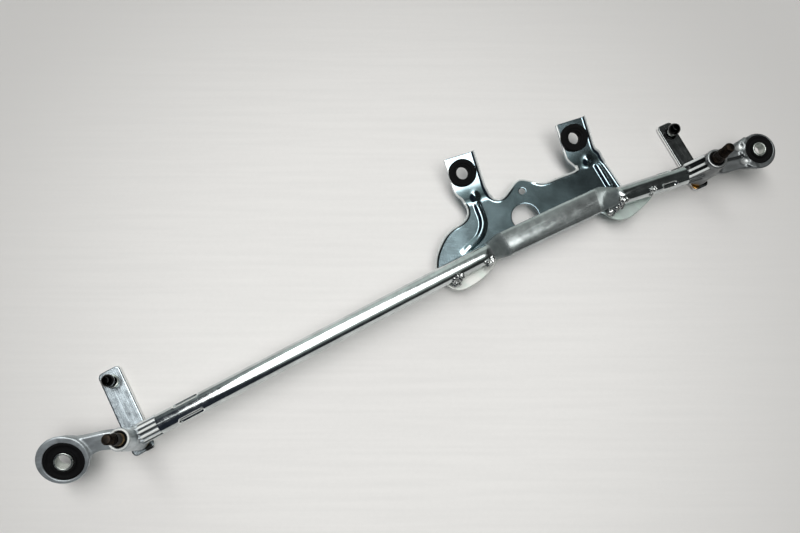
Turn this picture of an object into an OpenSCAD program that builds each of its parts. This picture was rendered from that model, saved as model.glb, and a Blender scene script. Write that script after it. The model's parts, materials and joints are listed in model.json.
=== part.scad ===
// Wiper linkage frame: a flattened cross tube, a pressed motor bracket welded to it,
// two die-cast pivot housings and two crank assemblies that turn in them.
// Millimetres, +Z up along the pivot spindles.
// Origin: centre of the motor shaft hole, on the underside of the motor plate.

/* [Tube] */
// outside diameter of the cross tube
tube_od = 20; // [17:0.5:24]
// wall of the cross tube
tube_wall = 1.5; // [1.3:0.1:2.5]
// width of the flattened length
flat_width = 26.6; // [24:0.2:30]
// height of the flattened length
flat_height = 9; // [7:0.2:12]
// length of each end of the flattened length that blends into the round tube
flat_blend = 15; // [10:1:24]
// length of each locking crimp on the left
left_crimp_length = 26; // [12:1:27]
// length of each locking crimp on the right
right_crimp_length = 16; // [12:1:27]
// depth of each locking crimp
crimp_depth = 1; // [0.3:0.1:1.1]
// radius of the punch that makes a crimp
crimp_radius = 4.4; // [2:0.2:5]

/* [Motor bracket] */
// thickness of the pressed plate
plate_t = 2.5; // [1.5:0.1:4]
// diameter of the motor shaft hole
shaft_hole_d = 29.2; // [20:0.2:32]
// diameter of the motor fixing hole
bolt_hole_d = 7; // [5:0.1:8]
// diameter of the circle round the shaft that the fixing hole lies on
bolt_circle_d = 57.6; // [50:0.2:62]
// direction of the motor fixing hole
bolt_angle = 76; // [70:1:80]
// height of the turned-up rim above the plate
rim_height = 3; // [1:0.5:6]
// thickness of the turned-up rim
rim_t = 2.2; // [1.5:0.1:3]
// width of the pressed stiffening beads
bead_width = 10; // [6:0.5:12]
// height of the stiffening beads above the plate
bead_height = 2.2; // [1:0.2:3]
// radius of a weld spot
weld_radius = 4.5; // [3:0.5:5]

/* [Mounting tabs] */
// sideways place of the left tab hole
left_tab_x = -50; // [-56:0.5:-48]
// sideways place of the right tab hole
right_tab_x = 77; // [74:0.5:84]
// place of both tab holes away from the shaft hole
tab_y = 63.6; // [58:0.2:70]
// height of the tabs at their lower fold
tab_rise = 8; // [4:0.5:14]
// slope of the tabs
tab_tilt = 15; // [0:1:25]
// flat width of a tab
tab_width = 29.5; // [28:0.5:34]
// width of the turned-up flange beside a tab
tab_flange_w = 4.6; // [3:0.2:6]
// height of the flange above the tab
tab_flange_h = 4; // [2:0.5:7]
// diameter of the hole in a tab that holds its grommet
tab_hole_d = 20; // [16:0.5:22]

/* [Pivots] */
// left spindle, sideways place
left_pivot_x = -444.5; // [-460:0.5:-420]
// left spindle, place along Y
left_pivot_y = -92; // [-100:0.5:-84]
// right spindle, sideways place
right_pivot_x = 199.5; // [185:0.5:210]
// right spindle and right tube length, place along Y
right_pivot_y = -13; // [-18:0.5:-9]
// outside diameter of a pivot boss
boss_d = 21.6; // [20:0.2:26]
// underside of the pivot bosses
boss_bottom = -11; // [-14:0.5:-6]
// top of the left boss
left_boss_top = 40.5; // [38:0.5:50]
// top of the right boss
right_boss_top = 39; // [38:0.5:50]
// outside diameter of the ribbed collars
collar_d = 21.2; // [20:0.2:26]
// distance from the left spindle to its tube end
left_tube_gap = 31; // [24:0.5:34]
// distance from the right spindle to its tube end
right_tube_gap = 26; // [24:0.5:30]
// height at which the sloped ribs of the right housing meet its boss
rib_top = 34; // [28:0.5:37]
// radius of those ribs
rib_r = 1.7; // [1:0.1:2]
// length of the spigots inside the tube
spigot_length = 46; // [30:1:50]
// all-round clearance of a spigot in the tube
spigot_clearance = 0.1; // [0.05:0.05:0.2]
// outside diameter of the bearing bushes
bush_od = 15; // [14.5:0.1:16]
// length of each bearing bush
bush_length = 15; // [8:1:18]
// diameter of the counterbore at the top of a boss
counterbore_d = 15.6; // [15.4:0.1:18]
// depth of the counterbore
counterbore_depth = 5; // [4.8:0.1:6]

/* [Frame eyes] */
// distance from the left spindle to the left eye
left_eye_reach = 60.7; // [58:0.1:75]
// distance from the right spindle to the right eye
right_eye_reach = 57.9; // [54:0.1:75]
// height of the middle of the eyes
eye_z = 16.1; // [10:0.1:18]
// slope of the left eye about the length
left_eye_tilt = 26.6; // [0:0.2:30]
// slope of the right eye about the length
right_eye_tilt = 9.5; // [0:0.5:20]
// outside diameter of the left eye
left_eye_d = 47.9; // [46:0.1:52]
// outside diameter of the right eye
right_eye_d = 37.8; // [37:0.1:42]
// diameter of the rubber in the left eye
left_rubber_d = 38; // [34:0.5:38.5]
// diameter of the rubber in the right eye
right_rubber_d = 30; // [26:0.2:30.6]
// height of both eyes along their own axes
eye_height = 10; // [10:0.5:16]
// outside diameter of the left sleeve
left_sleeve_d = 17.8; // [16:0.2:20]
// bore of the left sleeve
left_sleeve_bore = 14; // [10:0.2:15]
// outside diameter of the right sleeve
right_sleeve_d = 14.6; // [13.4:0.2:16]
// bore of the right sleeve
right_sleeve_bore = 11; // [8:0.2:12]
// how far a sleeve stands out of each side of its eye
sleeve_proud = 1; // [0.5:0.25:2]

/* [Tab grommets] */
// diameter of the upper flange
grommet_d = 29.4; // [26:0.2:29.4]
// height of the upper flange above the tab
grommet_top = 5; // [3:0.25:8]
// diameter of the lower flange
grommet_low_d = 25; // [22.5:0.5:28]
// height of the lower flange under the tab
grommet_low = 4; // [2:0.25:6]
// bore of the tab grommets
grommet_bore = 13.6; // [9:0.2:14]

/* [Cranks] */
// diameter of the spindles
spindle_d = 12; // [10:0.1:12.2]
// running clearance of a spindle in its bushes, on the radius
spindle_clearance = 0.04; // [0.02:0.01:0.08]
// length of a spindle above its boss
spindle_above = 28; // [24:0.5:34]
// diameter of the threaded tip
tip_d = 10; // [8:0.2:10.4]
// length of the threaded tip
tip_length = 13; // [10:0.5:14]
// diameter of the splined cone at its foot
cone_d = 11.6; // [11:0.1:11.8]
// thickness of the crank levers
lever_t = 5; // [4:0.5:7]
// width of the left lever
left_lever_w = 23.6; // [18:0.5:26]
// width of the right lever
right_lever_w = 18.6; // [16:0.2:22]
// distance from the left spindle to its ball
left_arm = 65.5; // [55:0.5:75]
// distance from the right spindle to its ball
right_arm = 56.5; // [48:0.5:65]
// direction of the left lever at rest
left_arm_angle = 101; // [80:1:120]
// direction of the right lever at rest
right_arm_angle = 96.5; // [80:0.5:120]
// length of a lever past its ball and past its spindle
lever_end = 13.5; // [11:0.5:16]
// corner radius of a lever
lever_corner = 5; // [2:0.5:6]
// diameter of the balls
ball_d = 13; // [10:0.5:16]
// height of a ball's centre above its lever
ball_height = 12.5; // [11:0.5:18]
// diameter of a ball stud's neck
ball_neck_d = 7.4; // [6:0.2:8]
// diameter of a ball stud's foot
ball_foot_d = 14; // [10:0.5:16]
// diameter of the rivet ends of spindles and ball studs
rivet_d = 8.6; // [7:0.2:9]
// gap between turning pieces and the housings
turn_gap = 0.35; // [0.3:0.05:0.6]

/* [Hidden] */
$fn = 48;
tube_r = tube_od/2;
tube_in = tube_r - tube_wall;
tube_z = plate_t + tube_r;
flat_z = plate_t + flat_height/2;
left_pivot = [left_pivot_x, left_pivot_y];
right_pivot = [right_pivot_x, right_pivot_y];
// the flattened length, its two ends
flat_a = [-36.5, -23];
flat_b = [81.5, -8.4];
flat_angle = atan2(flat_b.y - flat_a.y, flat_b.x - flat_a.x);
// where the round lengths end
round_a = flat_a - flat_blend*[cos(flat_angle), sin(flat_angle)] - [0, 1.7];
round_b = [flat_b.x + flat_blend, right_pivot_y];
left_run = round_a - left_pivot;
left_angle = atan2(left_run.y, left_run.x);
left_length = norm(left_run);
right_length = right_pivot.x - round_b.x;
// angles of the crimps from straight up, southwards, and how far they start from the tube ends
left_crimps = [52, 180, 308];
right_crimps = [42, 170, 298];
left_crimp_start = 18.5;
right_crimp_start = 14;
crimp_end = sqrt(2*crimp_radius*crimp_depth - crimp_depth*crimp_depth);
// the sloped ribs of the right housing: places across it, start from the tube end, depth of the slope under them
rib_rows = [-5.4, 0.5, 8.2];
rib_start = 1.5;
rib_sink = 0.6;
rib_slope_sides = [-7, 9.6];
boss_r = boss_d/2;
bush_r = bush_od/2;
spindle_r = spindle_d/2;
bush_in = spindle_r + spindle_clearance;
lever_top = boss_bottom - 1.2 - turn_gap;
lever_low = lever_top - lever_t;
washer_t = 1.2;
left_eye = [left_pivot_x - left_eye_reach, left_pivot_y + 1.3, eye_z];
right_eye = [right_pivot_x + right_eye_reach, right_pivot_y + 0.8, eye_z];
// how far the cast rims of the eyes stand off the middle of their rubbers
left_rim_shift = [-0.9, 1.4];
right_rim_shift = [-1.3, -1.4];
rim_depth = 3;
bead_facets = 8;
bead_sink = 0.3;
fold_low = 33;
fold_top = 45;
tab_end = 81.5;
flat_length = norm(flat_b - flat_a);
// facets of a blend, the step where it meets the true rounds, and its lap over them
blend_sides = 32;
blend_step = 0.25;
blend_lap = 0.4;
// the blends stay this far off the plate
plate_gap = 0.04;

// smooth curve through a row of points
function curve_at(a, b, c, d, t) =
    0.5*((2*b) + (c - a)*t + (2*a - 5*b + 4*c - d)*t*t + (3*b - a - 3*c + d)*t*t*t);
function smooth(p, n) = [
    for (i = [0:len(p) - 2], k = [0:n - 1])
        curve_at(p[max(i - 1, 0)], p[i], p[i + 1], p[min(i + 2, len(p) - 1)], k/n),
    p[len(p) - 1]
];
// the same row moved to its right-hand side
function side_step(p, w) = [
    for (i = [0:len(p) - 1])
        let (d = p[min(i + 1, len(p) - 1)] - p[max(i - 1, 0)], u = d/norm(d))
        p[i] + w*[u.y, -u.x]
];
function backward(p) = [for (i = [len(p) - 1:-1:0]) p[i]];

// outline of the flat plate, in rows: west side, lobes, east side and north edge
west_side = smooth([[-57.6, 35], [-56.8, 30], [-57.5, 23.3], [-61.8, 17.7], [-68.7, 14.2],
    [-78.6, 11.6], [-88.1, 6.7], [-96.4, -0.9], [-104.3, -10.8], [-109, -21], [-110, -27]], 3);
west_lobe = smooth([[-110, -27], [-109, -37], [-104, -44], [-99.5, -49.5], [-90.5, -53.4],
    [-76, -51.6], [-57, -44.5], [-42, -33]], 3);
east_lobe = smooth([[72, -18], [80.6, -23.4], [85.5, -29.5], [94, -35], [105.5, -35.6],
    [119, -30.8], [133.5, -24], [139, -18], [133, -11], [118, -6.5], [111, -2]], 3);
east_side = smooth([[111, -2], [109.6, 2.5], [106.9, 17.5], [103.6, 32], [102.6, 35]], 3);
north_edge = smooth([[72, 35], [70.4, 32.6], [66, 31.1], [50, 30.2], [36, 29.2], [29, 30.4],
    [20.4, 36.1], [12.5, 40.6], [7, 41.4], [1.5, 39.2], [-4.1, 35.2], [-12, 29.5],
    [-18.7, 27], [-23.8, 28.8], [-26.6, 32], [-28, 35]], 3);
// outlines of the two tabs
left_tab_west = smooth([[left_tab_x - tab_width/2, tab_end], [left_tab_x - tab_width/2, 64],
    [left_tab_x - tab_width/2, 48], [-62.4, 42], [-58.6, 37.5], [-57, 32.5]], 3);
left_tab_east = smooth([[left_tab_x + tab_width/2 + tab_flange_w, tab_end],
    [left_tab_x + tab_width/2 + tab_flange_w, 64],
    [left_tab_x + tab_width/2 + tab_flange_w, 48], [-29.8, 41], [-26.6, 32]], 3);
right_tab_west = smooth([[right_tab_x - tab_width/2, tab_end], [right_tab_x - tab_width/2, 64],
    [right_tab_x - tab_width/2, 48], [64, 42], [68.5, 36.5], [72, 32.5]], 3);
right_tab_east = smooth([[right_tab_x + tab_width/2 + tab_flange_w, tab_end],
    [right_tab_x + tab_width/2 + tab_flange_w, 64],
    [right_tab_x + tab_width/2 + tab_flange_w, 48], [100.4, 42], [103.6, 32]], 3);

// outlines of the two arms, in the sloped planes of their eyes
left_arm_north = smooth([[6, 21.6], [11.2, 20], [18.8, 17.4], [29.7, 15.6], [41.7, 14.4],
    [51, 12.2], [58, 9.4]], 3);
left_arm_south = smooth([[58, -7], [48, -5.6], [40.2, -4], [34.8, -2.6], [28.7, -2.8],
    [23.2, -5.1], [18.8, -10], [15, -15]], 3);
right_arm_north = smooth([[-56, 9.4], [-47, 10.6], [-35, 11.4], [-21.8, 14.1], [-10.2, 17]], 3);
right_arm_south = smooth([[-10, -17.4], [-13.5, -16.6], [-27.2, -14], [-41.7, -13.4],
    [-50, -11.6], [-56, -9.6]], 3);

module strip(row, w) {
    polygon(concat(row, backward(side_step(row, w))));
}

// side view of plate, fold and tab, drawn out along X
module pressed_slab(extra) {
    rise = tab_rise + (tab_end - fold_top)*tan(tab_tilt);
    low = [[-30, 0], [fold_low, 0], [fold_top, tab_rise], [tab_end + 2, rise + 2*tan(tab_tilt)]];
    high = [for (p = low) p + [0, plate_t + extra]];
    translate([-120, 0, 0])
        rotate([90, 0, 90])
        linear_extrude(240) polygon(concat(low, backward(high)));
}

module tab_frame(x) {
    translate([x, tab_y, tab_rise + (tab_y - fold_top)*tan(tab_tilt)])
        rotate([tab_tilt, 0, 0])
        children();
}

module round_run(p, angle, from, to, r) {
    translate([p.x, p.y, tube_z])
        rotate([0, 0, angle])
        translate([from, 0, 0])
        rotate([0, 90, 0])
        cylinder(r = r, h = to - from);
}

module stadium(w, h) {
    square([w - h, h], center = true);
    translate([(w - h)/2, 0]) circle(d = h);
    translate([(h - w)/2, 0]) circle(d = h);
}

module flat_run(from, to, w, h) {
    translate([flat_a.x, flat_a.y, flat_z])
        rotate([0, 0, flat_angle])
        translate([from, 0, 0])
        rotate([90, 0, 90])
        linear_extrude(to - from) stadium(w, h);
}

// loft from the round tube at a to the flattened tube at b, lapped into both
module blend(a, turn_a, b, turn_b, cut) {
    r = (tube_r - cut + blend_step)/cos(180/blend_sides);
    h = 2*(flat_height/2 - cut + blend_step)/cos(180/blend_sides);
    w = flat_width - flat_height + h;
    intersection() {
        translate([-150, -80, plate_t + plate_gap - (cut > 0 ? 1 : 0)]) cube([300, 120, 60]);
        hull() {
            $fn = blend_sides;
            translate([a.x, a.y, tube_z])
                rotate([0, 0, turn_a])
                translate([-2*blend_lap, 0, 0])
                rotate([0, 90, 0])
                cylinder(r = r, h = blend_lap);
            translate([b.x, b.y, flat_z])
                rotate([0, 0, turn_b])
                translate([blend_lap, 0, 0])
                rotate([90, 0, 90])
                linear_extrude(blend_lap) stadium(w, h);
        }
    }
}

module tube_body(cut) {
    reach = cut > 0 ? 1 : 0;
    round_run(left_pivot, left_angle, left_tube_gap - reach, left_length, tube_r - cut);
    blend(round_a, left_angle, flat_a, flat_angle, cut);
    flat_run(0, flat_length, flat_width - 2*cut, flat_height - 2*cut);
    blend(round_b, 180, flat_b, 180 + flat_angle, cut);
    round_run(right_pivot, 180, right_tube_gap - reach, right_length, tube_r - cut);
}

module crimps(p, angle, from, length, turns, flip) {
    for (a = turns)
        translate([p.x, p.y, tube_z])
            rotate([0, 0, angle])
            rotate([flip*a, 0, 0])
            translate([from + crimp_end, 0, tube_r + crimp_radius - crimp_depth])
            rotate([0, 90, 0]) {
                cylinder(r = crimp_radius, h = length - 2*crimp_end);
                sphere(r = crimp_radius);
                translate([0, 0, length - 2*crimp_end]) sphere(r = crimp_radius);
            }
}

module main_tube() {
    color([0.74, 0.77, 0.77])
    difference() {
        tube_body(0);
        tube_body(tube_wall);
        crimps(left_pivot, left_angle, left_tube_gap + left_crimp_start, left_crimp_length,
            left_crimps, 1);
        crimps(right_pivot, 180, right_tube_gap + right_crimp_start, right_crimp_length,
            right_crimps, -1);
    }
}

function ease(t) = t*t*(3 - 2*t);
// cross-section of a pressed bead at one point of its path, running out at both ends
function bead_ring(path, i) =
    let (last = len(path) - 1, d = path[min(i + 1, last)] - path[max(i - 1, 0)], u = d/norm(d),
        run_out = 0.03 + 0.97*ease(min(1, 5*i/last, 5*(last - i)/last)))
    concat(
        [for (k = [0:bead_facets])
            let (across = 2*k/bead_facets - 1, lift = run_out*pow(cos(90*across), 2),
                p = path[i] + across*bead_width/2*[u.y, -u.x])
            [p.x, p.y, plate_t - bead_sink + (bead_height + bead_sink)*lift]],
        [for (across = [1, -1])
            let (p = path[i] + across*bead_width/2*[u.y, -u.x])
            [p.x, p.y, plate_t/4]]);

module bead(path) {
    n = bead_facets + 3;
    last = n*(len(path) - 1);
    points = [for (i = [0:len(path) - 1], p = bead_ring(path, i)) p];
    walls = [for (q = [0:n:last - n], i = [0:n - 1])
        let (j = (i + 1) % n)
        each [[q + i, q + n + i, q + n + j], [q + i, q + n + j, q + j]]];
    ends = [[for (i = [0:n - 1]) i], [for (i = [n - 1:-1:0]) last + i]];
    polyhedron(points = points, faces = concat(walls, ends));
}

module beads() {
    bead(smooth([[-44, 33], [-44, 24], [-44.2, 12], [-47, 3], [-54.5, -6], [-66, -12], [-79, -17.5]], 4));
    bead(smooth([[94.4, 33], [96.6, 17], [98.8, 1]], 6));
}

module welds() {
    spots = [[-94, -7.2], [-60, -7.2], [104, -7.2], [130, -7.2]];
    difference() {
        for (s = spots)
            translate([s.x, tube_line(s.x) + s.y, plate_t])
                intersection() {
                    sphere(r = weld_radius);
                    translate([-8, -8, -0.5]) cube(16);
                }
        round_run(left_pivot, left_angle, left_tube_gap, left_length, tube_r);
        round_run(right_pivot, 180, right_tube_gap, right_length, tube_r);
    }
}
// middle of the round tube at a place along X
function tube_line(x) = x < 0 ? left_pivot_y + (x - left_pivot_x)*tan(left_angle) : right_pivot_y;

module gusset(x) {
    translate([x - 3, 0, 0])
        rotate([90, 0, 90])
        linear_extrude(6)
        polygon([[fold_low - 5, plate_t - 0.5], [fold_low, 0.5], [fold_top - 2, tab_rise - 0.5],
            [fold_top - 3, tab_rise + plate_t - 1]]);
}

module motor_bracket() {
    color([0.55, 0.62, 0.63])
    difference() {
        union() {
            linear_extrude(plate_t)
                polygon(concat(west_side, west_lobe, east_lobe, east_side, north_edge));
            intersection() {
                pressed_slab(0);
                linear_extrude(80) {
                    polygon(concat(left_tab_west, backward(left_tab_east)));
                    polygon(concat(right_tab_west, backward(right_tab_east)));
                }
            }
            intersection() {
                pressed_slab(tab_flange_h);
                linear_extrude(80) {
                    strip(left_tab_east, rim_t);
                    strip(right_tab_east, rim_t);
                }
            }
            linear_extrude(plate_t + rim_height) {
                strip(west_side, -rim_t);
                strip(east_side, -rim_t);
                strip(north_edge, -rim_t);
            }
            beads();
            welds();
            gusset(left_tab_x + 6);
            gusset(right_tab_x + 8);
        }
        translate([0, 0, -1]) cylinder(d = shaft_hole_d, h = plate_t + 2);
        rotate([0, 0, bolt_angle])
            translate([bolt_circle_d/2, 0, -1])
            cylinder(d = bolt_hole_d, h = plate_t + 2);
        tab_frame(left_tab_x) translate([0, 0, -3]) cylinder(d = tab_hole_d, h = plate_t + 8);
        tab_frame(right_tab_x) translate([0, 0, -3]) cylinder(d = tab_hole_d, h = plate_t + 8);
    }
}

module eye_frame(eye, tilt) {
    translate(eye)
        rotate([tilt, 0, 0])
        children();
}

// channel-shaped arm between a boss and its eye, with a rib under each edge
module arm(north, south) {
    translate([0, 0, -1.4]) linear_extrude(5) polygon(concat(north, south));
    translate([0, 0, -4.6])
        linear_extrude(4.6) {
            strip(north, 3);
            strip(south, 3);
        }
}

// cast eye: a rim at the top and a tapered body under it
module eye_body(shift, ring_d, rubber_d) {
    top = eye_height/2;
    translate([shift.x, shift.y, top - rim_depth]) cylinder(d = ring_d, h = rim_depth);
    translate([0, 0, -top])
        cylinder(r1 = rubber_d/2 + 1.2, r2 = ring_d/2 - norm(shift) - 0.4,
            h = eye_height - rim_depth + 0.2);
}

module collar(length, flutes) {
    difference() {
        rotate([0, 90, 0]) cylinder(d = collar_d, h = length);
        for (a = [0:flutes - 1])
            rotate([360/flutes*(a + 0.5), 0, 0])
                translate([boss_r + 1.5, 0, collar_d/2 + 0.5])
                rotate([0, 90, 0])
                cylinder(r = 1.6, h = length);
    }
}

// slope with ribs that climbs from the tube end of a collar to its boss
module ribbed_slope(tube_gap) {
    foot = [tube_gap - rib_start, collar_d/2 - 1.2 - rib_r];
    head = [boss_r - 2.3, rib_top - tube_z - rib_r];
    climb = head - foot;
    translate([0, rib_slope_sides[1], 0])
        rotate([90, 0, 0])
        linear_extrude(rib_slope_sides[1] - rib_slope_sides[0])
        polygon([[0, 0], [foot.x, 0], [foot.x, foot.y - rib_sink],
            [head.x, head.y - rib_sink], [0, head.y - rib_sink]]);
    for (y = rib_rows)
        translate([foot.x, y, foot.y])
            rotate([0, -atan2(-climb.x, climb.y), 0]) {
                sphere(r = rib_r);
                cylinder(r = rib_r, h = norm(climb));
            }
}

module housing(pivot, top, angle, tube_gap, eye, tilt, shift, ring_d, rubber_d, north, south, ribs) {
    difference() {
        union() {
            translate([pivot.x, pivot.y, boss_bottom]) cylinder(r = boss_r, h = top - boss_bottom);
            if (ribs)
                translate([pivot.x, pivot.y, tube_z]) rotate([0, 0, angle]) ribbed_slope(tube_gap);
            translate([pivot.x, pivot.y, tube_z])
                rotate([0, 0, angle]) {
                    collar(tube_gap, 12);
                    translate([tube_gap - 1, 0, 0])
                        rotate([0, 90, 0])
                        cylinder(r = tube_in - spigot_clearance, h = spigot_length + 1);
                }
            eye_frame(eye, tilt) {
                eye_body(shift, ring_d, rubber_d);
                arm(north, south);
            }
        }
        eye_frame(eye, tilt)
            translate([0, 0, -eye_height]) cylinder(d = rubber_d, h = 2*eye_height);
        translate([pivot.x, pivot.y, boss_bottom - 1])
            cylinder(r = bush_r, h = top - boss_bottom + 2);
        translate([pivot.x, pivot.y, top - counterbore_depth])
            cylinder(d = counterbore_d, h = counterbore_depth + 1);
    }
}

module left_pivot_housing() {
    color([0.70, 0.72, 0.72])
        housing(left_pivot, left_boss_top, left_angle, left_tube_gap, left_eye, left_eye_tilt,
            left_rim_shift, left_eye_d, left_rubber_d, left_arm_north, left_arm_south, false);
}

module right_pivot_housing() {
    color([0.60, 0.62, 0.62])
    difference() {
        housing(right_pivot, right_boss_top, 180, right_tube_gap, right_eye, right_eye_tilt,
            right_rim_shift, right_eye_d, right_rubber_d, right_arm_north, right_arm_south, true);
        eye_frame(right_eye, right_eye_tilt) {
            translate([-20.8, 8, 2.4]) cylinder(r = 3.4, h = 3);
            translate([-20.4, -7.4, 2.4]) cylinder(r = 3.4, h = 3);
            translate([-40, -1.6, 2.6]) rotate([0, 0, -4]) cube([17, 2.2, 3]);
        }
    }
}

// rubber ring in an eye, with a shallow groove round each face
module eye_rubber(outer_d, inner_d) {
    r1 = inner_d/2;
    r2 = outer_d/2;
    h = eye_height/2;
    g = (r2 - r1)/5;
    half = [[r1, h + sleeve_proud - 0.6], [r1 + g, h + sleeve_proud - 0.2],
        [r1 + 1.6*g, h - 1.2], [r2 - 2*g, h - 1.2], [r2 - 1.2*g, h - 0.1], [r2, h - 0.6]];
    low = [for (p = half) [p.x, -p.y]];
    rotate_extrude() polygon(concat(half, backward(low)));
}

module left_eye_grommet() {
    color([0.07, 0.07, 0.075])
        eye_frame(left_eye, left_eye_tilt) eye_rubber(left_rubber_d, left_sleeve_d);
}

module right_eye_grommet() {
    color([0.07, 0.07, 0.075])
        eye_frame(right_eye, right_eye_tilt) eye_rubber(right_rubber_d, right_sleeve_d);
}

module sleeve(outer_d, bore) {
    h = eye_height/2 + sleeve_proud;
    r1 = bore/2;
    r2 = outer_d/2;
    c = (r2 - r1)/4;
    rotate_extrude()
        polygon([[r1, -h + c], [r1 + c, -h], [r2 - c, -h], [r2, -h + c],
            [r2, h - c], [r2 - c, h], [r1 + c, h], [r1, h - c]]);
}

module left_eye_sleeve() {
    color([0.72, 0.75, 0.72])
        eye_frame(left_eye, left_eye_tilt) sleeve(left_sleeve_d, left_sleeve_bore);
}

module right_eye_sleeve() {
    color([0.72, 0.75, 0.72])
        eye_frame(right_eye, right_eye_tilt) sleeve(right_sleeve_d, right_sleeve_bore);
}

// spool-shaped rubber held in a tab
module tab_rubber() {
    r1 = grommet_bore/2;
    r2 = grommet_d/2;
    neck = tab_hole_d/2;
    low_r = grommet_low_d/2;
    t = plate_t*cos(tab_tilt);
    rotate_extrude()
        polygon([[r1, -grommet_low + 0.8], [r1 + 0.8, -grommet_low], [low_r - 1, -grommet_low],
            [low_r, -grommet_low + 1], [low_r, 0], [neck, 0], [neck, t], [r2, t],
            [r2, t + grommet_top - 2], [r2 - 0.7, t + grommet_top - 0.7],
            [r2 - 2.2, t + grommet_top], [r1 + 1.2, t + grommet_top],
            [r1, t + grommet_top - 1.2]]);
}

module left_tab_grommet() {
    color([0.06, 0.06, 0.065])
        tab_frame(left_tab_x) tab_rubber();
}

module right_tab_grommet() {
    color([0.06, 0.06, 0.065])
        tab_frame(right_tab_x) tab_rubber();
}

module ring(p, z1, z2, r1, r2) {
    translate([p.x, p.y, z1])
        difference() {
            cylinder(r = r2, h = z2 - z1);
            translate([0, 0, -1]) cylinder(r = r1, h = z2 - z1 + 2);
        }
}

module lower_bush(p) {
    ring(p, boss_bottom, boss_bottom + bush_length, bush_in, bush_r);
}

module upper_bush(p, top) {
    z = top - counterbore_depth;
    ring(p, z - bush_length, z, bush_in, bush_r);
}

module left_upper_bush() {
    color([0.55, 0.45, 0.28]) upper_bush(left_pivot, left_boss_top);
}

module left_lower_bush() {
    color([0.55, 0.45, 0.28]) lower_bush(left_pivot);
}

module right_upper_bush() {
    color([0.55, 0.45, 0.28]) upper_bush(right_pivot, right_boss_top);
}

module right_lower_bush() {
    color([0.55, 0.45, 0.28]) lower_bush(right_pivot);
}

// heights of the washer, circlip and seal in the counterbore
function washer_z(top) = top - counterbore_depth + turn_gap;
function clip_z(top) = washer_z(top) + 1;
function seal_z(top) = clip_z(top) + 1.2;

module spindle(p, top) {
    tip = top + spindle_above;
    foot = top + 3;
    thread = tip - tip_length;
    translate([p.x, p.y, 0])
        difference() {
            rotate_extrude()
                polygon([[0, lever_low], [rivet_d/2, lever_low], [rivet_d/2, lever_top],
                    [spindle_r, lever_top], [spindle_r, foot], [cone_d/2, foot + 0.4],
                    [tip_d/2 + 0.3, thread - 1.2], [tip_d/2 - 0.5, thread - 0.8],
                    [tip_d/2 - 0.5, thread - 0.3], [tip_d/2, thread], [tip_d/2, tip - 1],
                    [tip_d/2 - 1, tip], [0, tip]]);
            difference() {
                translate([0, 0, clip_z(top)]) cylinder(r = spindle_r + 1, h = 1.2);
                translate([0, 0, clip_z(top) - 1]) cylinder(r = spindle_r - 0.6, h = 4);
            }
        }
}

module left_spindle() {
    color([0.20, 0.16, 0.12]) spindle(left_pivot, left_boss_top);
}

module right_spindle() {
    color([0.20, 0.16, 0.12]) spindle(right_pivot, right_boss_top);
}

module rounded_bar(from, to, w, r) {
    translate([from + r, -w/2]) square([to - from - 2*r, w]);
    translate([from, -w/2 + r]) square([to - from, w - 2*r]);
    for (x = [from + r, to - r], y = [-w/2 + r, w/2 - r])
        translate([x, y]) circle(r = r);
}

module lever(p, angle, length, w) {
    translate([p.x, p.y, lever_low])
        rotate([0, 0, angle])
        difference() {
            linear_extrude(lever_t) rounded_bar(-lever_end, length + lever_end, w, lever_corner);
            translate([0, 0, -1]) cylinder(d = rivet_d, h = lever_t + 2);
            translate([length, 0, -1]) cylinder(d = rivet_d, h = lever_t + 2);
        }
}

module left_lever() {
    color([0.72, 0.76, 0.77]) lever(left_pivot, left_arm_angle, left_arm, left_lever_w);
}

module right_lever() {
    color([0.42, 0.44, 0.44]) lever(right_pivot, right_arm_angle, right_arm, right_lever_w);
}

module ball_stud(p, angle, length) {
    translate([p.x, p.y, lever_top])
        rotate([0, 0, angle])
        translate([length, 0, 0]) {
            translate([0, 0, -lever_t]) cylinder(d = rivet_d, h = lever_t + 0.5);
            cylinder(d = ball_foot_d, h = 2);
            translate([0, 0, 2]) cylinder(d1 = ball_foot_d - 2, d2 = ball_neck_d, h = 2);
            cylinder(d = ball_neck_d, h = ball_height);
            difference() {
                translate([0, 0, ball_height]) sphere(d = ball_d);
                translate([-10, -10, ball_height + ball_d/2 - 0.8]) cube(20);
            }
        }
}

module left_ball_stud() {
    color([0.08, 0.08, 0.08]) ball_stud(left_pivot, left_arm_angle, left_arm);
}

module right_ball_stud() {
    color([0.08, 0.08, 0.08]) ball_stud(right_pivot, right_arm_angle, right_arm);
}

module thrust_washer(p) {
    ring(p, lever_top, lever_top + washer_t, spindle_r, boss_r - 0.6);
}

module top_washer(p, top) {
    ring(p, washer_z(top), clip_z(top), spindle_r, counterbore_d/2 - 0.5);
}

module circlip(p, top) {
    z = clip_z(top);
    difference() {
        ring(p, z, z + 1.2, spindle_r - 0.6, counterbore_d/2 - 0.9);
        translate([p.x - 1.5, p.y, z - 1]) cube([3, 12, 4]);
    }
}

module dust_seal(p, top) {
    ring(p, seal_z(top), top - 0.4, spindle_r, counterbore_d/2 - 0.4);
}

module left_thrust_washer() {
    color([0.62, 0.55, 0.38]) thrust_washer(left_pivot);
}

module right_thrust_washer() {
    color([0.62, 0.55, 0.38]) thrust_washer(right_pivot);
}

module left_top_washer() {
    color([0.30, 0.28, 0.25]) top_washer(left_pivot, left_boss_top);
}

module right_top_washer() {
    color([0.30, 0.28, 0.25]) top_washer(right_pivot, right_boss_top);
}

module left_circlip() {
    color([0.16, 0.15, 0.14]) circlip(left_pivot, left_boss_top);
}

module right_circlip() {
    color([0.16, 0.15, 0.14]) circlip(right_pivot, right_boss_top);
}

module left_dust_seal() {
    color([0.07, 0.07, 0.07]) dust_seal(left_pivot, left_boss_top);
}

module right_dust_seal() {
    color([0.07, 0.07, 0.07]) dust_seal(right_pivot, right_boss_top);
}

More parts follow.
